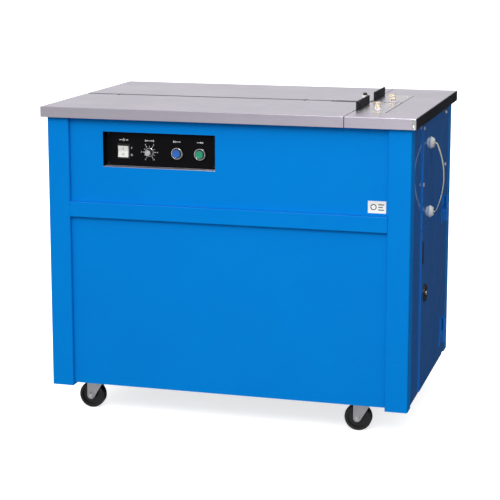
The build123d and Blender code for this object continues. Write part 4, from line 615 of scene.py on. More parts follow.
class Bench:
    """Modelling steps that every sub-assembly uses, and the finishing of pieces."""

    def __init__(self, kit: ShaderKit) -> None:
        """Args: kit: the shared shader groups, which every finish is made with."""
        self.materials = {finish.name: finish.make(kit) for finish in FINISHES}
        self.slots = {finish.name: finish.slot or finish.name for finish in FINISHES}

    @staticmethod
    def clear() -> None:
        """Leaves edit mode with nothing selected."""
        if bpy.context.object is not None and bpy.context.object.mode != "OBJECT":
            bpy.ops.object.mode_set(mode="OBJECT")
        bpy.ops.object.select_all(action="DESELECT")

    @staticmethod
    def pick(piece: Piece) -> None:
        """Leaves one object selected and active."""
        Bench.clear()
        piece.select_set(True)
        bpy.context.view_layer.objects.active = piece

    @staticmethod
    def settle(piece: Piece) -> Piece:
        """Puts a piece's place into its mesh.

        Args:
            piece: the piece.
        Returns:
            The piece.
        """
        Bench.pick(piece)
        bpy.ops.object.transform_apply(location=True, rotation=True, scale=True)
        return piece

    @staticmethod
    def block(name: str, low: Point, high: Point) -> Piece:
        """Adds a box between two corners.

        Args:
            name: the piece's name.
            low: the lowest corner in metres.
            high: the highest corner in metres.
        Returns:
            The new piece.
        """
        Bench.clear()
        centre = [(a + b) / 2 for a, b in zip(low, high)]
        bpy.ops.mesh.primitive_cube_add(size=1.0, location=centre)
        piece = bpy.context.object
        piece.scale = [b - a for a, b in zip(low, high)]
        piece.name = name
        return Bench.settle(piece)

    @staticmethod
    def disc(name: str, centre: Point, axis: Axis, radius: float, depth: float, sides: int = 48) -> Piece:
        """Adds a cylinder.

        Args:
            name: the piece's name.
            centre: its middle in metres.
            axis: the way it points.
            radius: its radius in metres.
            depth: its length in metres.
            sides: the faces round it.
        Returns:
            The new piece.
        """
        Bench.clear()
        bpy.ops.mesh.primitive_cylinder_add(
            vertices=sides, radius=radius, depth=depth, location=centre, rotation=axis.value,
        )
        piece = bpy.context.object
        piece.name = name
        return Bench.settle(piece)

    @staticmethod
    def ring(
        name: str, centre: Point, axis: Axis, radius: float, thickness: float, sides: int = 64, across: int = 12,
    ) -> Piece:
        """Adds a torus.

        Args:
            name: the piece's name.
            centre: its middle in metres.
            axis: the way it points.
            radius: the radius of its centre line in metres.
            thickness: the radius of its wire in metres.
            sides: the steps round it.
            across: the steps round its wire.
        Returns:
            The new piece.
        """
        Bench.clear()
        bpy.ops.mesh.primitive_torus_add(
            major_segments=sides, minor_segments=across, major_radius=radius, minor_radius=thickness,
            location=centre, rotation=axis.value,
        )
        piece = bpy.context.object
        piece.name = name
        return Bench.settle(piece)

    @staticmethod
    def select(piece: Piece, rule: FaceRule) -> None:
        """Enters edit mode on a piece with only some faces chosen.

        Args:
            piece: the piece.
            rule: which faces to choose.
        """
        Bench.pick(piece)
        bpy.ops.object.mode_set(mode="EDIT")
        bpy.ops.mesh.select_mode(type="FACE")
        bpy.ops.mesh.select_all(action="DESELECT")
        bpy.ops.object.mode_set(mode="OBJECT")
        for face in piece.data.polygons:
            face.select = rule(Vector(face.center), Vector(face.normal))
        bpy.ops.object.mode_set(mode="EDIT")

    @staticmethod
    def inset(piece: Piece, rule: FaceRule, thickness: float, depth: float = 0.0) -> Piece:
        """Insets the faces that meet a rule, then pushes them out or in.

        Args:
            piece: the piece to shape.
            rule: which faces to take.
            thickness: how far in from their rim.
            depth: how far out, or in where it is negative.
        Returns:
            The piece.
        """
        Bench.select(piece, rule)
        bpy.ops.mesh.inset(thickness=thickness, depth=0.0, use_boundary=True)
        if depth:
            bpy.ops.mesh.inset(thickness=0.0, depth=depth, use_boundary=True)
        bpy.ops.object.mode_set(mode="OBJECT")
        return piece

    @staticmethod
    def taper(piece: Piece, rule: FaceRule, share: Point, centre: Point) -> Piece:
        """Scales some of the faces of a piece about a point.

        Args:
            piece: the piece.
            rule: which faces to take.
            share: the scale along X, Y and Z.
            centre: the fixed point in metres.
        Returns:
            The piece.
        """
        Bench.select(piece, rule)
        bpy.ops.transform.resize(value=share, center_override=centre)
        bpy.ops.object.mode_set(mode="OBJECT")
        return piece

    @staticmethod
    def flatten(piece: Piece, axis: str, share: float, level: float) -> Piece:
        """Presses a whole piece flat along an axis towards a level, and returns it.

        Args:
            piece: the piece to press.
            axis: X, Y or Z.
            share: the part of its thickness that is kept.
            level: the place along the axis that stays.
        Returns:
            The piece.
        """
        number = "XYZ".index(axis)
        scale, centre = [1.0, 1.0, 1.0], [0.0, 0.0, 0.0]
        scale[number], centre[number] = share, level
        return Bench.taper(piece, lambda place, normal: True, tuple(scale), tuple(centre))

    @staticmethod
    def bevel(piece: Piece, width: float, steps: int = 2) -> Piece:
        """Rounds a piece's sharp edges with an applied modifier.

        Args:
            piece: the piece.
            width: the width of the bevel in metres.
            steps: the faces across it.
        Returns:
            The piece.
        """
        Bench.pick(piece)
        modifier = piece.modifiers.new("round", "BEVEL")
        modifier.width = width
        modifier.segments = steps
        modifier.limit_method = "ANGLE"
        modifier.angle_limit = BEVEL_ANGLE
        bpy.ops.object.modifier_apply(modifier=modifier.name)
        return piece

    @staticmethod
    def bore(piece: Piece, cutter: Piece) -> Piece:
        """Cuts one piece out of another and removes the cutter.

        Args:
            piece: the piece.
            cutter: what is cut out of it.
        Returns:
            The piece.
        """
        Bench.pick(piece)
        modifier = piece.modifiers.new("cut", "BOOLEAN")
        modifier.object = cutter
        modifier.operation = "DIFFERENCE"
        modifier.solver = "EXACT"
        bpy.ops.object.modifier_apply(modifier=modifier.name)
        bpy.data.objects.remove(cutter)
        return piece

    @staticmethod
    def copy(piece: Piece, name: str, shift: Point) -> Piece:
        """Copies a piece with its own mesh and moves the copy.

        Args:
            piece: the piece to copy.
            name: the copy's name.
            shift: how far the copy is moved, in metres.
        Returns:
            The copy.
        """
        Bench.pick(piece)
        bpy.ops.object.duplicate(linked=False)
        double = bpy.context.object
        double.name = name
        double.location = Vector(shift)
        return Bench.settle(double)

    @staticmethod
    def turn(piece: Piece, axis: str, angle: float, about: Point) -> Piece:
        """Turns a whole piece about a point.

        Args:
            piece: the piece to turn.
            axis: X, Y or Z.
            angle: in degrees, by the right hand.
            about: the fixed point in metres.
        Returns:
            The piece.
        """
        Bench.select(piece, lambda centre, normal: True)
        bpy.ops.transform.rotate(value=-math.radians(angle), orient_axis=axis, center_override=about)
        bpy.ops.object.mode_set(mode="OBJECT")
        return piece

    @staticmethod
    def join(name: str, pieces: Sequence[Piece]) -> Piece:
        """Makes several pieces one object.

        Args:
            name: the new object's name.
            pieces: what is joined.
        Returns:
            The joined piece.
        """
        Bench.clear()
        for piece in pieces:
            piece.select_set(True)
        bpy.context.view_layer.objects.active = pieces[0]
        if len(pieces) > 1:
            bpy.ops.object.join()
        joined = bpy.context.object
        joined.name = name
        joined.data.name = name
        return Bench.settle(joined)

    def done(self, piece: Piece, finish: str, body: str = "cabinet") -> None:
        """Gives a piece its finish and body, and reports it.

        Args:
            piece: the finished piece.
            finish: the finish's name.
            body: the CAD body it moves with.
        """
        Bench.settle(piece)
        bpy.ops.object.shade_smooth_by_angle(angle=SMOOTH_ANGLE)
        self.coat(piece, finish)
        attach(piece, body)
        LOG.info("piece %s on %s: %s, %d faces", piece.name, body, finish, len(piece.data.polygons))

    def coat(self, piece: Piece, finish: str) -> None:
        """Gives an object one finish, in place of what it had."""
        piece.data.materials.clear()
        piece.data.materials.append(self.materials[finish])

    def dress(self, finish: str, *nodes: str) -> None:
        """Gives CAD nodes a finish, in place of their plain colour.

        Args:
            finish: the finish's name.
            nodes: the nodes.
        """
        for node in nodes:
            self.coat(frame["nodes"][node], finish)
            LOG.info("node %s: %s", node, finish)


def middle(node: str) -> Vector:
    """Returns the middle of a CAD node's box in metres."""
    low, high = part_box(node)
    return (low + high) / 2


def looks(side: Side) -> FaceRule:
    """Returns the rule that takes the faces looking one way."""
    return lambda centre, normal: normal.dot(Vector(side.value)) > SAME_WAY


def flat_level(node: str, side: Side) -> float:
    """Finds the largest flat face of a CAD node that looks one way.

    Args:
        node: the CAD node.
        side: the way the face looks.
    Returns:
        The face's place along that way's axis, in metres.
    """
    axis = max(range(3), key=lambda number: abs(side.value[number]))
    areas: dict[float, float] = {}
    for face in frame["nodes"][node].data.polygons:
        if face.normal.dot(Vector(side.value)) > FLAT:
            level = round(face.center[axis], 4)
            areas[level] = areas.get(level, 0.0) + face.area
    return max(areas, key=areas.get)


def joint_place(name: str) -> Vector:
    """Returns the point that a joint of the record turns about, in metres."""
    return next(Vector(joint["pos_m"]) for joint in frame["joints"] if joint["name"] == name)


# ------------------------------------------------------------------ sub-assemblies


@dataclass
class Cabinet:
    """The sheet-metal cabinet: its paint, blank label, louvre hoods and screws."""

    bench: Bench
    label_width: float = 42 * MM
    label_height: float = 28 * MM
    label_rise: float = 6.5 * MM
    label_inset: float = 4.0 * MM
    film: float = 0.3 * MM
    louvre_rows: int = 9
    louvre_length: float = 120 * MM
    louvre_pitch: float = 14 * MM
    louvre_drop: float = 167.2 * MM
    louvre_offset: float = 200 * MM
    louvre_proud: float = 3.6 * MM
    hood_top: float = 5.2 * MM
    hood_bottom: float = -1.2 * MM
    screw_radius: float = 4.0 * MM
    screw_height: float = 2.0 * MM
    socket_radius: float = 1.7 * MM
    rear_screw_edge: float = 12 * MM
    screw_edge: float = 14 * MM
    washer_radius: float = 13.4 * MM
    washer_wire: float = 1.0 * MM

    def build(self) -> None:
        """Builds everything on the cabinet shell."""
        self.bench.dress(
            "blue_paint", "front_upper_panel", "front_lower_panel", "mid_rail", "left_panel", "rear_panel",
            "post_front_left", "post_front_right", "post_rear_left", "post_rear_right", "top_frame", "base_frame",
        )
        # The right side's frame and cover take the darker blue, which is painted shade under a real glossy coat.
        self.bench.dress("blue_gloss_painted_shade", "right_side_frame", "side_cover")
        self.bench.dress("zinc", "cover_screws", "caster_plates")
        self.bench.dress("black_plastic", "cable_gland")
        self.label()
        self.louvres()
        self.panel_screws()
        self.gland_washer()

    def label(self) -> None:
        """Makes the label low on the right of the upper panel, with plain marks and no lettering."""
        low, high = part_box("front_upper_panel")
        left = high.x - self.label_inset - self.label_width
        bottom = low.z + self.label_rise
        face = low.y - self.film
        label = Bench.block(
            "blank_label", (left, face, bottom), (left + self.label_width, low.y, bottom + self.label_height),
        )
        Bench.inset(label, looks(Side.FRONT), 1.2 * MM, -0.05 * MM)
        self.bench.done(Bench.bevel(label, 0.1 * MM), "label_film")
        middle_z = bottom + self.label_height / 2
        ring = Bench.ring("ring", (left + 13 * MM, face, middle_z), Axis.Y, 6.0 * MM, 1.1 * MM, 40, 8)
        Bench.flatten(ring, "Y", 0.15, face)
        bars = [
            Bench.block(
                f"bar_{step}", (left + 24 * MM, face - 0.12 * MM, z - 1.1 * MM),
                (left + (37 - 3 * (step % 2)) * MM, face + 0.1 * MM, z + 1.1 * MM),
            )
            for step, z in enumerate((middle_z + 6 * MM, middle_z, middle_z - 6 * MM))
        ]
        marks = Bench.bevel(Bench.join("label_marks", (ring, *bars)), 0.08 * MM, 1)
        self.bench.done(marks, "black_ink")

    def louvres(self) -> None:
        """Makes the pressed hoods over the slots of the rear panel and the left panel."""
        low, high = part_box("rear_panel")
        centre = (low.x + high.x) / 2
        for label, x in (("left", centre - self.louvre_offset), ("right", centre + self.louvre_offset)):
            self.louvre_column(f"rear_louvres_{label}", (x, high.y, high.z - self.louvre_drop), (0.0, 1.0, 0.0), 0.0)
        low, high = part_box("left_panel")
        self.louvre_column(
            "left_louvres", (low.x, (low.y + high.y) / 2, high.z - self.louvre_drop), (-1.0, 0.0, 0.0), 90.0,
        )

    def louvre_column(self, name: str, place: Point, out: Point, turn: float) -> None:
        """Makes one column of hoods, all copied from the first.

        Args:
            name: the column's name.
            place: the middle of the column on the panel's face, in metres.
            out: the way the panel faces; not used.
            turn: how far the hood, made to face +Y, is turned about Z in degrees.
        """
        half = self.louvre_length / 2
        bottom, top = self.hood_bottom, self.hood_top
        hood = Bench.block(name, (-half, 0.0, bottom), (half, self.louvre_proud, top))
        Bench.taper(hood, looks(Side.TOP), (0.96, 0.1, 1.0), (0.0, 0.0, top))
        Bench.inset(hood, looks(Side.BOTTOM), 0.7 * MM, -2.4 * MM)
        Bench.bevel(hood, 0.4 * MM)
        Bench.turn(hood, "Z", turn, (0.0, 0.0, 0.0))
        rows = []
        for row in range(self.louvre_rows):
            rise = (row - (self.louvre_rows - 1) / 2) * self.louvre_pitch
            rows.append(Bench.copy(hood, f"{name}_{row}", (place[0], place[1], place[2] + rise)))
        bpy.data.objects.remove(hood)
        self.bench.done(Bench.join(name, rows), "blue_paint")

    def panel_screws(self) -> None:
        """Makes the button-head screws of the rear panel and the left panel."""
        low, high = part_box("rear_panel")
        rows = (low.z + self.screw_edge, (low.z + high.z) / 2, high.z - self.screw_edge)
        columns = (low.x + self.rear_screw_edge, (low.x + high.x) / 2, high.x - self.rear_screw_edge)
        places = [(x, high.y, z) for x in columns for z in rows]
        self.screw_group("rear_panel_screws", places, Axis.Y, 1.0)
        low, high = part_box("left_panel")
        rows = (low.z + self.screw_edge, (low.z + high.z) / 2, high.z - self.screw_edge)
        places = [(low.x, y, z) for y in (low.y + self.screw_edge, high.y - self.screw_edge) for z in rows]
        self.screw_group("left_panel_screws", places, Axis.X, -1.0)

    def screw_group(self, name: str, places: Sequence[Point], axis: Axis, side: float) -> None:
        """Makes the screws of one panel, which are one piece.

        Args:
            name: the piece's name.
            places: the middle of each seat in metres.
            axis: the screws' axis.
            side: 1 where they stand out along the axis, -1 against it.
        """
        heads = [self.button_head(f"{name}_{step}", place, axis, side) for step, place in enumerate(places)]
        self.bench.done(Bench.join(name, heads), "zinc")

    def button_head(self, name: str, place: Point, axis: Axis, side: float) -> Piece:
        """Makes one button-head screw with a hexagon socket.

        Args:
            name: the piece's name.
            place: the middle of its seat in metres.
            axis: the screw's axis.
            side: 1 where it stands out along the axis, -1 against it.
        Returns:
            The screw head.
        """
        out = Vector((side, 0, 0)) if axis is Axis.X else Vector((0, side, 0))
        height = self.screw_height
        head = Bench.disc(name, tuple(Vector(place) + out * (height / 2)), axis, self.screw_radius, height, 24)
        outer = tuple(Vector(place) + out * height)
        Bench.inset(head, lambda centre, normal: normal.dot(out) > 0.9, 1.2 * MM)
        Bench.taper(head, lambda centre, normal: abs(normal.dot(out)) < 0.5, (0.97, 0.97, 0.97), place)
        Bench.bevel(head, 0.5 * MM)
        socket = Bench.disc(name + "_socket", outer, axis, self.socket_radius, 1.1 * height, 6)
        return Bench.bore(head, socket)

    def gland_washer(self) -> None:
        """Makes the rubber washer under the cable gland's nut."""
        low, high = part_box("cable_gland")
        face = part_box("rear_panel")[1].y
        centre = ((low.x + high.x) / 2, face + 0.7 * MM, (low.z + high.z) / 2)
        washer = Bench.ring("gland_washer", centre, Axis.Y, self.washer_radius, self.washer_wire)
        Bench.flatten(washer, "Y", 0.7, face + 0.7 * MM)
        self.bench.done(washer, "black_rubber")


@dataclass
class Controls:
    """The recessed control panel: its marks, scale, rings and knob details."""

    bench: Bench
    ink: float = 0.25 * MM
    scale_inner: float = 11.5 * MM
    scale_outer: float = 16.8 * MM
    scale_ticks: int = 11
    scale_sweep: float = 300.0
    number_circle: float = 20.2 * MM
    number_size: float = 4.6 * MM
    mark_rise: float = 27 * MM
    stroke: float = 1.6 * MM
    sign_half: float = 2.4 * MM
    pointer_angle: float = 45.0
    pointer_half: float = 0.9 * MM
    rim_share: float = 0.80
    rocker_rise: float = 3.0
    rocker_run: float = 13.5
    frame_side: float = 2.5 * MM
    frame_end: float = 4 * MM
    bezel_width: float = 2.4 * MM
    cap_share: float = 0.82
    cap_height: float = 3.0 * MM
    screw_edge: float = 7 * MM
    screw_radius: float = 2.6 * MM

    def build(self) -> None:
        """Builds everything on the control panel."""
        self.bench.dress("panel_black", "control_plate", "control_box")
        self.bench.dress("white_plastic", "power_switch")
        self.bench.dress("black_plastic", "length_dial", "reset_button", "feed_button")
        self.face = flat_level("control_plate", Side.FRONT)
        self.recess_lip()
        self.rocker_frame()
        self.rocker_marks()
        self.dial_scale()
        self.dial_numbers()
        self.dial_trim()
        self.button_ring("reset_button", "blue_button")
        self.button_ring("feed_button", "green_button")
        self.pictograms()
        self.plate_screws()

    def flat(self, name: str, x0: float, x1: float, z0: float, z1: float) -> Piece:
        """Returns a printed bar on the plate, between two corners in metres."""
        return Bench.block(name, (x0, self.face - self.ink, z0), (x1, self.face, z1))

    def recess_lip(self) -> None:
        """Makes the pale folded strip along the recess's lower edge."""
        low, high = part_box("control_plate")
        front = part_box("front_upper_panel")[0].y
        strip = Bench.block(
            "recess_lip", (low.x, front + 0.6 * MM, low.z - 0.3 * MM), (high.x, self.face - 0.2 * MM, low.z + 1.3 * MM),
        )
        Bench.inset(strip, looks(Side.TOP), 1.5 * MM, -0.4 * MM)
        self.bench.done(Bench.bevel(strip, 0.3 * MM), "stainless")

    def rocker_frame(self) -> None:
        """Makes the moulded frame round the rocker."""
        low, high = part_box("power_switch")
        outer = Bench.block(
            "rocker_frame", (low.x - self.frame_side, self.face - 1.6 * MM, low.z - self.frame_end),
            (high.x + self.frame_side, self.face, high.z + self.frame_end),
        )
        hole = Bench.block(
            "rocker_hole", (low.x - 0.2 * MM, self.face - 5 * MM, low.z - 1.9 * MM),
            (high.x + 0.2 * MM, self.face + 2 * MM, high.z + 1.9 * MM),
        )
        self.bench.done(Bench.bevel(Bench.bore(outer, hole), 0.5 * MM), "black_plastic")

    def rocker_marks(self) -> None:
        """Makes the bar and ring on the rocker's two halves."""
        low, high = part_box("power_switch")
        x, z = (low.x + high.x) / 2, (low.z + high.z) / 2
        lean = math.degrees(math.atan2(self.rocker_rise, self.rocker_run))
        bar = Bench.block(
            "bar", (x - 0.6 * MM, low.y + 1.2 * MM, z + 4 * MM), (x + 0.6 * MM, low.y + 1.7 * MM, z + 9 * MM),
        )
        bar = Bench.turn(bar, "X", lean, (x, low.y + 1.5 * MM, z + 6.5 * MM))
        ring = Bench.ring("ring", (x, low.y + 1.5 * MM, z - 6.5 * MM), Axis.Y, 2.3 * MM, 0.4 * MM, 32, 8)
        ring = Bench.turn(ring, "X", -lean, (x, low.y + 1.5 * MM, z - 6.5 * MM))
        self.bench.done(Bench.join("rocker_marks", (bar, ring)), "black_plastic", "power_switch")
        x = high.x + 7 * MM
        on = self.flat("on", x - 0.5 * MM, x + 0.5 * MM, z + 6 * MM, z + 10.5 * MM)
        off = Bench.ring("off", (x, self.face, z - 8.5 * MM), Axis.Y, 2.0 * MM, 0.4 * MM, 32, 8)
        self.bench.done(Bench.join("switch_marks", (on, off)), "white_ink")

    def dial_scale(self) -> None:
        """Makes the printed ticks round the dial."""
        spot = middle("length_dial")
        ticks = []
        for step in range(self.scale_ticks):
            long_tick = step % 2 == 0
            top = self.scale_outer - (0.0 if long_tick else 1.6 * MM)
            width = self.stroke * (0.55 if long_tick else 0.4)
            tick = self.flat(
                f"tick_{step}", spot.x - width / 2, spot.x + width / 2, spot.z + self.scale_inner, spot.z + top,
            )
            ticks.append(Bench.turn(tick, "Y", self.tick_angle(step), (spot.x, self.face, spot.z)))
        self.bench.done(Bench.join("dial_scale", ticks), "white_ink")

    def tick_angle(self, step: int) -> float:
        """Returns a tick's angle from the top in degrees."""
        return self.scale_sweep * (step / (self.scale_ticks - 1) - 0.5)

    def dial_numbers(self) -> None:
        """Prints the numbers 0 to 10 outside every second tick."""
        spot = middle("length_dial")
        numbers = []
        for step in range(0, self.scale_ticks, 2):
            angle = math.radians(self.tick_angle(step))
            Bench.clear()
            bpy.ops.object.text_add()
            text = bpy.context.object
            text.data.body = str(step)
            text.data.size = self.number_size
            text.data.extrude = self.ink / 2
            text.data.align_x, text.data.align_y = "CENTER", "CENTER"
            bpy.ops.object.convert(target="MESH")
            number = bpy.context.object
            number.name = f"number_{step}"
            bpy.ops.object.mode_set(mode="EDIT")
            bpy.ops.mesh.select_all(action="SELECT")
            bpy.ops.mesh.remove_doubles(threshold=0.001 * MM)
            bpy.ops.object.mode_set(mode="OBJECT")
            number.rotation_euler = (math.radians(90.0), 0.0, 0.0)
            number.location = (spot.x + self.number_circle * math.sin(angle), self.face - self.ink / 2,
                               spot.z + self.number_circle * math.cos(angle))
            numbers.append(Bench.settle(number))
        self.bench.done(Bench.join("dial_numbers", numbers), "white_ink")

    def dial_trim(self) -> None:
        """Makes the dial's bright collar, the ring round its cap and its white pointer."""
        low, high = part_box("length_dial")
        spot = middle("length_dial")
        radius = (high.x - low.x) / 2
        collar = Bench.ring("dial_collar", (spot.x, self.face - 1.4 * MM, spot.z), Axis.Y, radius + 0.9 * MM, 1.0 * MM)
        Bench.flatten(collar, "Y", 0.8, self.face - 1.4 * MM)
        self.bench.done(collar, "chrome", "length_dial")
        crown = low.y + 0.8 * MM
        rim = Bench.disc("dial_rim", (spot.x, crown - 0.2 * MM, spot.z), Axis.Y, radius * self.rim_share, 0.8 * MM, 64)
        Bench.inset(rim, looks(Side.FRONT), 0.9 * MM, -0.35 * MM)
        self.bench.done(Bench.bevel(rim, 0.15 * MM), "chrome", "length_dial")
        line = Bench.block(
            "line", (spot.x - self.pointer_half, low.y - 0.3 * MM, spot.z + 0.6 * MM),
            (spot.x + self.pointer_half, low.y + 0.1 * MM, spot.z + radius * self.rim_share),
        )
        Bench.taper(line, looks(Side.TOP), (0.6, 1.0, 1.0), (spot.x, low.y, spot.z))
        line = Bench.turn(Bench.bevel(line, 0.12 * MM), "Y", self.pointer_angle, (spot.x, low.y, spot.z))
        self.bench.done(Bench.join("dial_pointer", (line,)), "white_ink", "length_dial")

    def button_ring(self, name: str, finish: str) -> None:
        """Makes the bright ring that a push button stands in and its raised coloured cap.

        Args:
            name: the button's node and body.
            finish: the cap's finish.
        """
        spot = middle(name)
        low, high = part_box(name)
        radius = (high.x - low.x) / 2
        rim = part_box("control_plate")[0].y
        ring = Bench.disc(
            f"{name}_ring", (spot.x, rim - 0.5 * MM, spot.z), Axis.Y, radius + self.bezel_width, 1.6 * MM, 64,
        )
        hole = Bench.disc("hole", (spot.x, rim, spot.z), Axis.Y, radius + 0.35 * MM, 9 * MM, 64)
        ring = Bench.bevel(Bench.bore(ring, hole), 0.6 * MM, 3)
        self.bench.done(ring, "chrome")
        cap = Bench.disc(
            f"{name}_cap", (spot.x, low.y - 1.4 * MM, spot.z), Axis.Y, radius * self.cap_share, self.cap_height, 64,
        )
        Bench.inset(cap, looks(Side.FRONT), 2.2 * MM, -0.3 * MM)
        self.bench.done(Bench.bevel(cap, 0.6 * MM, 3), finish, name)

    def pictograms(self) -> None:
        """Prints a small sign above each control: power, length, reset and feed."""
        stroke, edge = self.stroke, 10 * MM
        x, z = middle("power_switch").x, middle("power_switch").z + self.mark_rise
        parts = [
            Bench.ring("ring", (x, self.face, z), Axis.Y, self.sign_half, 0.45 * MM, 32, 8),
            self.flat("bar", x - stroke / 3, x + stroke / 3, z, z + 1.5 * self.sign_half),
        ]
        for dash in (x - 8 * MM, x + 8 * MM):
            parts.append(self.flat("dash", dash - 3 * MM, dash + 3 * MM, z - stroke / 2, z + stroke / 2))
        self.bench.done(Bench.join("sign_power", parts), "white_ink")
        self.sign("sign_length", "length_dial", (-8, 8), (-edge - stroke / 2, edge - stroke / 2), ((-7, -1), (7, 1)))
        self.sign("sign_reset", "reset_button", (-4, 8), (-edge,), ((-6, -1),))
        self.sign("sign_feed", "feed_button", (-8, 1), (), ((2, 1), (6, 1)))

    def sign(self, name: str, control: str, rod: Sequence[float], stops: Sequence[float],
             heads: Sequence[tuple[float, int]]) -> None:
        """Prints a rod with stops and arrow heads above a control.

        Args:
            name: the piece's name.
            control: the control's node.
            rod: the rod's ends beside the control's middle, in millimetres.
            stops: the left edge of each upright beside the middle, in metres.
            heads: each arrow head's place in millimetres, and 1 or -1 as it points right or left.
        """
        x, z = middle(control).x, middle("power_switch").z + self.mark_rise
        stroke, half = self.stroke, self.sign_half
        parts = [self.flat("rod", x + rod[0] * MM, x + rod[1] * MM, z - stroke / 3, z + stroke / 3)]
        parts += [self.flat("stop", x + stop, x + stop + stroke, z - half, z + half) for stop in stops]
        parts += [self.arrow("head", x + place * MM, z, side) for place, side in heads]
        self.bench.done(Bench.join(name, parts), "white_ink")

    def arrow(self, name: str, x: float, z: float, side: int) -> Piece:
        """Returns a printed arrow head at a place, pointing right or left."""
        head = Bench.block(
            name, (x - 1.6 * MM, self.face - self.ink, z - 2.2 * MM), (x + 1.6 * MM, self.face, z + 2.2 * MM),
        )
        return Bench.taper(head, lambda centre, normal: normal.x * side > 0.9, (1.0, 1.0, 0.12), (x, self.face, z))

    def plate_screws(self) -> None:
        """Makes the four small black screws in the plate's corners."""
        low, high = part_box("control_plate")
        heads = []
        for x in (low.x + self.screw_edge, high.x - self.screw_edge):
            for z in (low.z + self.screw_edge, high.z - self.screw_edge):
                head = Bench.disc("plate_screw", (x, self.face - 0.6 * MM, z), Axis.Y, self.screw_radius, 1.2 * MM, 24)
                Bench.bevel(head, 0.4 * MM)
                slot = Bench.block(
                    "slot", (x - 3 * MM, self.face - 2 * MM, z - 0.35 * MM),
                    (x + 3 * MM, self.face - 0.7 * MM, z + 0.35 * MM),
                )
                heads.append(Bench.bore(head, slot))
        self.bench.done(Bench.join("plate_screws", heads), "black_steel")


@dataclass
class Table:
    """The steel table: lids, end plate, raised head plates and their stops."""

    bench: Bench
    clamp_length: float = 20 * MM
    clamp_width: float = 10 * MM
    clamp_height: float = 9 * MM
    knob_radius: float = 5 * MM
    screw_radius: float = 3.2 * MM
    tab_width: float = 10 * MM
    screw_inset_x: float = 12 * MM
    screw_inset_y: float = 14 * MM
    hub_radius: float = 3.0 * MM

    def build(self) -> None:
        """Builds everything on the table."""
        self.bench.dress("stainless", "front_lid", "rear_lid", "table_end")
        self.bench.dress("stainless_cross", "head_plate_front", "head_plate_rear")
        # The black finish on table_edge_trim is a painted dark reflection: it stands in for the stainless right-hand
        # side of the table mirroring a dark surround.
        self.bench.dress("black_steel", "stop_plate_front", "stop_plate_rear", "table_edge_trim", "centre_rail")
        self.bench.dress("brass", "cross_knob_front", "cross_knob_rear")
        self.stop_clamp()
        self.plate_screws()
        self.knob_hubs()
        self.end_tab()

    def stop_clamp(self) -> None:
        """Makes the pale clamp on the front stop plate and its black knob."""
        low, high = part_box("stop_plate_front")
        x, y, z = low.x - self.clamp_width, high.y - 6 * MM - self.clamp_length, high.z
        clamp = Bench.block(
            "stop_clamp", (x, y, z - self.clamp_height), (low.x - 0.05 * MM, y + self.clamp_length, z + 1.5 * MM),
        )
        Bench.inset(clamp, looks(Side.TOP), 1.5 * MM, -0.6 * MM)
        Bench.taper(clamp, looks(Side.BOTTOM), (0.8, 0.85, 1.0), (low.x, y + self.clamp_length / 2, z))
        self.bench.done(Bench.bevel(clamp, 0.7 * MM, 3), "white_plastic")
        knob = Bench.disc(
            "clamp_knob", (x + self.clamp_width / 2, y + self.clamp_length / 2, z + 3.6 * MM), Axis.Z, self.knob_radius,
            5.5 * MM, 40,
        )
        Bench.select(knob, lambda centre, normal: abs(normal.z) < 0.3)
        bpy.ops.mesh.inset(thickness=0.12 * MM, depth=-0.3 * MM, use_individual=True)
        bpy.ops.object.mode_set(mode="OBJECT")
        Bench.inset(knob, looks(Side.TOP), 1.2 * MM, 0.6 * MM)
        self.bench.done(Bench.bevel(knob, 0.25 * MM), "black_plastic")

    def plate_screws(self) -> None:
        """Makes the countersunk screws in the two raised head plates."""
        heads = []
        for node in ("head_plate_front", "head_plate_rear"):
            low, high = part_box(node)
            top = flat_level(node, Side.TOP)
            for x in (low.x + self.screw_inset_x, high.x - self.screw_inset_x):
                for y in (low.y + self.screw_inset_y, high.y - self.screw_inset_y):
                    head = Bench.disc(f"sunk_{node}_{len(heads)}", (x, y, top), Axis.Z, self.screw_radius, 0.5 * MM, 28)
                    Bench.inset(head, looks(Side.TOP), 1.5 * MM)
                    socket = Bench.disc("socket", (x, y, top + 0.3 * MM), Axis.Z, 1.6 * MM, 0.9 * MM, 6)
                    heads.append(Bench.bevel(Bench.bore(head, socket), 0.1 * MM))
        self.bench.done(Bench.join("head_plate_screws", heads), "zinc")

    def knob_hubs(self) -> None:
        """Makes the round hub and dark socket at the middle of each cross knob."""
        for node in ("cross_knob_front", "cross_knob_rear"):
            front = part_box(node)[0].y
            spot = middle(node)
            hub = Bench.disc(f"{node}_hub", (spot.x, front - 0.6 * MM, spot.z), Axis.Y, self.hub_radius, 1.8 * MM, 32)
            Bench.inset(hub, looks(Side.FRONT), 1.2 * MM, -0.8 * MM)
            self.bench.done(Bench.bevel(hub, 0.3 * MM), "brass", node)


    def end_tab(self) -> None:
        """Makes the polished folded tab at the right-hand end of the table's front lip."""
        low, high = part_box("table_end")
        tab = Bench.block(
            "table_end_tab", (high.x - self.tab_width, low.y - 0.8 * MM, low.z + 0.6 * MM),
            (high.x - 0.6 * MM, low.y + 0.6 * MM, high.z - 1.2 * MM),
        )
        Bench.inset(tab, looks(Side.FRONT), 1.2 * MM, 0.3 * MM)
        Bench.taper(tab, looks(Side.BOTTOM), (0.8, 1.0, 1.0), (high.x - self.tab_width, low.y, low.z))
        self.bench.done(Bench.bevel(tab, 0.3 * MM), "chrome")


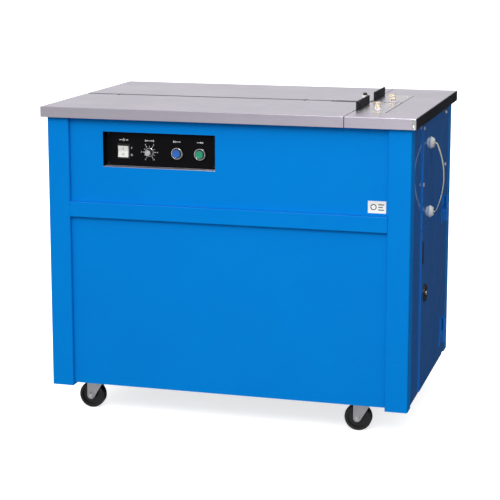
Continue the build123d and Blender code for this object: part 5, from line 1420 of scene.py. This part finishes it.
@dataclass
class SideDoor:
    """The right side: its door, latch, cover, nozzles and strap loop."""

    bench: Bench
    core_radius: float = 5.5 * MM
    slot_length: float = 6.8 * MM
    slot_width: float = 1.4 * MM
    pull_inset: float = 9 * MM
    pull_rise: float = 26 * MM
    pull_width: float = 10 * MM
    pull_height: float = 54 * MM
    pull_proud: float = 1.8 * MM

    def build(self) -> None:
        """Builds everything on the right side."""
        # The door takes the darker blue, which is painted shade under a real glossy coat.
        self.bench.dress("blue_gloss_painted_shade", "side_door")
        self.bench.dress("black_plastic", "door_latch")
        self.bench.dress("white_plastic", "strap_nozzle_upper", "strap_nozzle_lower")
        self.bench.dress("strap_plastic", "strap_loop")
        self.latch_core()
        self.nozzle_rims()
        self.door_pull()

    def latch_core(self) -> None:
        """Makes the latch's bright lock core with its dark slot."""
        low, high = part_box("door_latch")
        spot = middle("door_latch")
        centre_z = low.z + (high.y - low.y) / 2
        across, up = self.slot_length / 2, self.slot_width / 2
        core = Bench.disc("latch_core", (high.x + 0.3 * MM, spot.y, centre_z), Axis.X, self.core_radius, 1.6 * MM, 40)
        slot = Bench.block(
            "slot", (high.x - 0.2 * MM, spot.y - across, centre_z - up),
            (high.x + 2 * MM, spot.y + across, centre_z + up),
        )
        core = Bench.bevel(Bench.bore(core, slot), 0.25 * MM)
        self.bench.done(core, "chrome", "door_latch")

    def nozzle_rims(self) -> None:
        """Makes the rounded lip round each nozzle's mouth."""
        for node in ("strap_nozzle_upper", "strap_nozzle_lower"):
            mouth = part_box(node)[1].x
            spot = middle(node)
            rim = Bench.ring(f"{node}_rim", (0.0, 0.0, 0.0), Axis.X, 1.0, 0.09, 48, 10)
            rim.scale = (9 * MM, 5.0 * MM, 9.5 * MM)
            rim.location = (mouth - 0.9 * MM, spot.y, spot.z)
            Bench.settle(rim)
            self.bench.done(rim, "white_plastic")

    def door_pull(self) -> None:
        """Makes the small finger pull beside the door's front edge."""
        face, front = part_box("side_cover")[1].x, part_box("side_door")[0].y + self.pull_inset
        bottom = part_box("door_latch")[1].z + self.pull_rise
        pull = Bench.block(
            "door_pull", (face, front, bottom),
            (face + self.pull_proud, front + self.pull_width, bottom + self.pull_height),
        )
        Bench.inset(pull, looks(Side.RIGHT), 1.6 * MM, -1.0 * MM)
        self.bench.done(Bench.bevel(pull, 0.5 * MM), "black_plastic", "side_door")


@dataclass
class StrapFeed:
    """Inside the cabinet: reel, coil, pool box, rollers, head and its motor."""

    bench: Bench
    coil_turns: int = 13
    plate_reach: float = 70 * MM
    plate_half_length: float = 22 * MM
    plate_half_width: float = 11 * MM
    collar_radius: float = 8 * MM
    collar_length: float = 2.6 * MM
    shoe_end: float = 4 * MM
    shoe_reach: float = 20 * MM
    shoe_height: float = 5 * MM

    def build(self) -> None:
        """Builds everything behind the doors and lids."""
        self.bench.dress("grey_plastic", "strap_reel")
        self.bench.dress("strap_plastic", "strap_coil")
        self.bench.dress("black_steel", "reel_stand")
        self.bench.dress("zinc", "pool_box", "motor_pulley", "cam_shaft")
        self.bench.dress("cast_aluminium", "head_frame")
        self.bench.dress("motor_paint", "motor")
        self.bench.dress("tool_steel", "slide_anvil", "press_head", "heater_blade")
        self.bench.dress("black_rubber", "drive_belt", "feed_roller", "pressure_roller")
        self.coil_wraps()
        self.motor_plate()
        self.pulley_collar()
        self.heater_shoe()

    def coil_wraps(self) -> None:
        """Makes the raised turns of strap on the coil's outer face and its loose end's band."""
        low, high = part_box("strap_coil")
        spot = middle("strap_coil")
        radius = (high.z - low.z) / 2
        width = (high.x - low.x) / self.coil_turns
        turn = Bench.disc("turn", (low.x + width / 2, spot.y, spot.z), Axis.X, radius + 0.7 * MM, width - 0.8 * MM, 96)
        core = Bench.disc("core", (low.x + width / 2, spot.y, spot.z), Axis.X, radius - 1.0 * MM, width + 2 * MM, 96)
        Bench.bevel(Bench.bore(turn, core), 0.3 * MM, 1)
        turns = [Bench.copy(turn, f"turn_{step}", (step * width, 0.0, 0.0)) for step in range(self.coil_turns)]
        bpy.data.objects.remove(turn)
        self.bench.done(Bench.join("coil_wraps", turns), "strap_plastic", "strap_reel")

    def motor_plate(self) -> None:
        """Makes the blank rating plate on the motor's terminal box."""
        low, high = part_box("motor")
        x, y = low.x + self.plate_reach, middle("motor_pulley").y
        half, side = self.plate_half_length, self.plate_half_width
        plate = Bench.block("motor_plate", (x - half, y - side, high.z), (x + half, y + side, high.z + 0.5 * MM))
        Bench.inset(plate, looks(Side.TOP), 2.0 * MM, -0.15 * MM)
        self.bench.done(Bench.bevel(plate, 0.12 * MM), "cast_aluminium")

    def pulley_collar(self) -> None:
        """Makes the set collar on the motor pulley's face."""
        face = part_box("motor_pulley")[0].x
        spot = middle("motor_pulley")
        collar = Bench.disc(
            "pulley_collar", (face - 1.2 * MM, spot.y, spot.z), Axis.X, self.collar_radius, self.collar_length, 40,
        )
        Bench.inset(collar, looks(Side.LEFT), 3.2 * MM, -0.8 * MM)
        self.bench.done(Bench.bevel(collar, 0.4 * MM), "tool_steel", "motor_pulley")

    def heater_shoe(self) -> None:
        """Makes the pale insulating shoe that holds the heater blade's root."""
        low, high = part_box("heater_blade")
        shoe = Bench.block(
            "heater_shoe", (low.x + self.shoe_end, high.y - self.shoe_reach, low.z - self.shoe_height),
            (high.x - self.shoe_end, high.y - 2 * MM, low.z - 0.1 * MM),
        )
        Bench.inset(shoe, looks(Side.BOTTOM), 2.5 * MM, -1.0 * MM)
        self.bench.done(Bench.bevel(shoe, 0.8 * MM), "white_plastic", "heater_blade")


@dataclass
class Caster:
    """One caster: its finish, axle ends, wheel ribs and ball race."""

    bench: Bench
    corner: str
    end_radius: float = 3.2 * MM
    rib_radius: float = 24.5 * MM
    rib_wire: float = 0.7 * MM
    race_radius: float = 21.4 * MM
    race_wire: float = 1.0 * MM

    def build(self) -> None:
        """Builds the caster's finish and details."""
        self.bench.dress("zinc", self.fork)
        self.bench.dress("black_wheel", self.wheel)
        self.axle_ends()
        self.wheel_ribs()
        self.ball_race()

    @property
    def fork(self) -> str:
        """Returns the name of the fork's node and body."""
        return f"caster_fork_{self.corner}"

    @property
    def wheel(self) -> str:
        """Returns the name of the wheel's node and body."""
        return f"caster_wheel_{self.corner}"

    def axle_ends(self) -> None:
        """Makes the rounded, centre-drilled axle end beyond each nut."""
        spot = middle(self.wheel)
        low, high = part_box(self.fork)
        ends = []
        for side, y in ((-1, low.y), (1, high.y)):
            end = Bench.disc(
                f"end_{side}", (spot.x, y + side * 0.7 * MM, spot.z), Axis.Y, self.end_radius, 1.6 * MM, 28,
            )
            Bench.inset(end, lambda centre, normal: normal.y * side > 0.9, 1.9 * MM, -0.6 * MM)
            ends.append(Bench.bevel(end, 0.4 * MM))
        self.bench.done(Bench.join(f"axle_ends_{self.corner}", ends), "chrome", self.fork)

    def wheel_ribs(self) -> None:
        """Makes the low ring moulded into each side of the wheel, outside its dish."""
        spot = middle(self.wheel)
        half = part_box(self.wheel)[1].y - spot.y - 1.2 * MM
        ribs = []
        for side in (-1, 1):
            level = spot.y + side * half
            rib = Bench.ring(f"rib_{side}", (spot.x, level, spot.z), Axis.Y, self.rib_radius, self.rib_wire, 72, 8)
            ribs.append(Bench.flatten(rib, "Y", 0.6, level))
        self.bench.done(Bench.join(f"tyre_ribs_{self.corner}", ribs), "black_wheel", self.wheel)

    def ball_race(self) -> None:
        """Makes the bright rim of the ball race above the fork's crown."""
        swivel = joint_place(f"caster_swivel_{self.corner}")
        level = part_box(self.fork)[1].z + 1.2 * MM
        place = (swivel.x, swivel.y, level)
        race = Bench.ring(f"ball_race_{self.corner}", place, Axis.Z, self.race_radius, self.race_wire, 64, 10)
        Bench.flatten(race, "Z", 0.8, level)
        self.bench.done(race, "zinc")


@dataclass(frozen=True)
class Lamp:
    """A soft square lamp: its place, target and side in metres, its watts, and whether shiny pieces mirror it."""

    name: str
    place: Point
    target: Point
    size: float
    power: float
    mirrored: bool = True

    def hang(self) -> None:
        """Adds the lamp to the scene."""
        data = bpy.data.lights.new(self.name, "AREA")
        data.energy = self.power
        data.size = self.size
        lamp = bpy.data.objects.new(self.name, data)
        bpy.context.scene.collection.objects.link(lamp)
        lamp.visible_glossy = self.mirrored
        lamp.location = self.place
        lamp.rotation_euler = (Vector(self.target) - Vector(self.place)).to_track_quat("-Z", "Y").to_euler()


@dataclass(frozen=True)
class Lean:
    """A brightness that changes with how far a direction leans toward another.

    toward is the direction compared with, low and high are the cosines where the change
    starts and ends, and start and end are the brightness there.
    """

    toward: Point
    low: float
    high: float
    start: float
    end: float

    def make(self, graph: Graph, way: Socket) -> Socket:
        """Adds the nodes for the brightness.

        Args:
            graph: the world's graph.
            way: the direction looked at.
        Returns:
            The brightness.
        """
        dot = graph.vector_math("DOT_PRODUCT", way, self.toward)
        return graph.ramp(dot.outputs["Value"], self.low, self.high, self.start, self.end)


LAMPS = (
    Lamp("front_key", (0.25, -2.5, 2.1), (0.0, 0.0, 0.5), 1.1, 34.0),
    Lamp("rear_fill", (-2.4, 2.8, 2.0), (0.0, 0.0, 0.4), 1.6, 45.0, False),
    Lamp("right_glint", (2.6, -0.6, 1.6), (0.45, -0.1, 0.5), 0.25, 6.0),
    Lamp("wheel_glint", (0.3, -2.2, 0.15), (0.1, -0.2, 0.1), 0.3, 1.2),
)


@dataclass
class Studio:
    """The pale floor, the soft lights and the camera."""

    floor_size: float = 60.0
    floor_glow: float = 0.72
    camera_place: Point = (1.006, -3.699, 1.176)
    camera_yaw: float = 15.68
    camera_pitch: float = 10.07
    lens: float = 112.5
    shift: float = -0.1
    soft: Lean = Lean((-0.35, -0.60, 0.72), -0.45, 1.0, 0.12, 1.45)
    right_gloss: Lean = Lean((1.0, 0.0, 0.0), -0.02, 0.10, 1.0, 0.04)
    front_gloss: Lean = Lean((0.0, -1.0, 0.0), -0.6, -0.1, 0.04, 1.0)
    high_gloss: Lean = Lean((0.0, 0.85, 0.52), 0.0, 0.8, 0.50, 0.78)

    def build(self) -> None:
        """Builds the floor, the lights, the world and the camera."""
        self.floor()
        self.world()
        for lamp in LAMPS:
            lamp.hang()
        self.camera()
        bpy.context.scene.view_settings.view_transform = "Standard"

    def floor(self) -> None:
        """Makes the wide pale floor."""
        Bench.clear()
        bpy.ops.mesh.primitive_plane_add(size=self.floor_size, location=(0.0, 0.0, -0.0005))
        floor = bpy.context.object
        floor.name = "studio_floor"
        floor.visible_glossy = False
        material = bpy.data.materials.new("studio_floor")
        material.use_nodes = True
        shader = material.node_tree.nodes["Principled BSDF"]
        shader.inputs["Roughness"].default_value = 0.9
        shader.inputs["Specular IOR Level"].default_value = 0.0
        shader.inputs["Emission Color"].default_value = (1.0, 1.0, 1.0, 1.0)
        graph = Graph(material.node_tree)
        seen = graph.add("LightPath").outputs["Is Camera Ray"]
        graph.feed(shader, "Base Color", graph.mix(seen, (0.14, 0.14, 0.14, 1.0), (0.80, 0.80, 0.80, 1.0)))
        graph.feed(shader, "Emission Strength", graph.math("MULTIPLY", seen, self.floor_glow))
        floor.data.materials.append(material)

    def world(self) -> None:
        """Makes the even white surround, dimmer for light than for sight."""
        world = bpy.data.worlds.new("studio_white")
        world.use_nodes = True
        bpy.context.scene.world = world
        graph = Graph(world.node_tree)
        back = world.node_tree.nodes["Background"]
        ray = graph.add("LightPath")
        way = graph.add("TexCoord").outputs["Generated"]
        side = graph.math("MAXIMUM", self.right_gloss.make(graph, way), self.front_gloss.make(graph, way))
        gloss = graph.math("MULTIPLY", side, self.high_gloss.make(graph, way))
        share = graph.feed_all(graph.add("Mix"), {
            0: ray.outputs["Is Glossy Ray"], 2: self.soft.make(graph, way), 3: gloss,
        })
        seen = graph.feed_all(graph.add("Mix"), {0: ray.outputs["Is Camera Ray"], 2: share.outputs[0], 3: 1.0})
        graph.feed(back, "Color", (1.0, 1.0, 1.0, 1.0))
        graph.feed(back, "Strength", seen.outputs[0])

    def camera(self) -> None:
        """Makes the camera in front of the right-hand corner."""
        data = bpy.data.cameras.new("camera")
        data.lens = self.lens
        data.sensor_width = 36.0
        data.shift_y = self.shift
        camera = bpy.data.objects.new("camera", data)
        bpy.context.scene.collection.objects.link(camera)
        camera.location = self.camera_place
        camera.rotation_euler = (math.radians(90.0 - self.camera_pitch), 0.0, math.radians(self.camera_yaw))
        bpy.context.scene.camera = camera


def main() -> None:
    """Builds the studio, the finishes and every sub-assembly in order."""
    Studio().build()
    bench = Bench(ShaderKit())
    for assembly in (Cabinet(bench), Controls(bench), Table(bench), SideDoor(bench), StrapFeed(bench)):
        assembly.build()
        LOG.info("%s is built", type(assembly).__name__)
    for corner in ("front_left", "front_right", "rear_left", "rear_right"):
        Caster(bench, corner).build()
    Bench.clear()


if __name__ == "__main__":
    main()
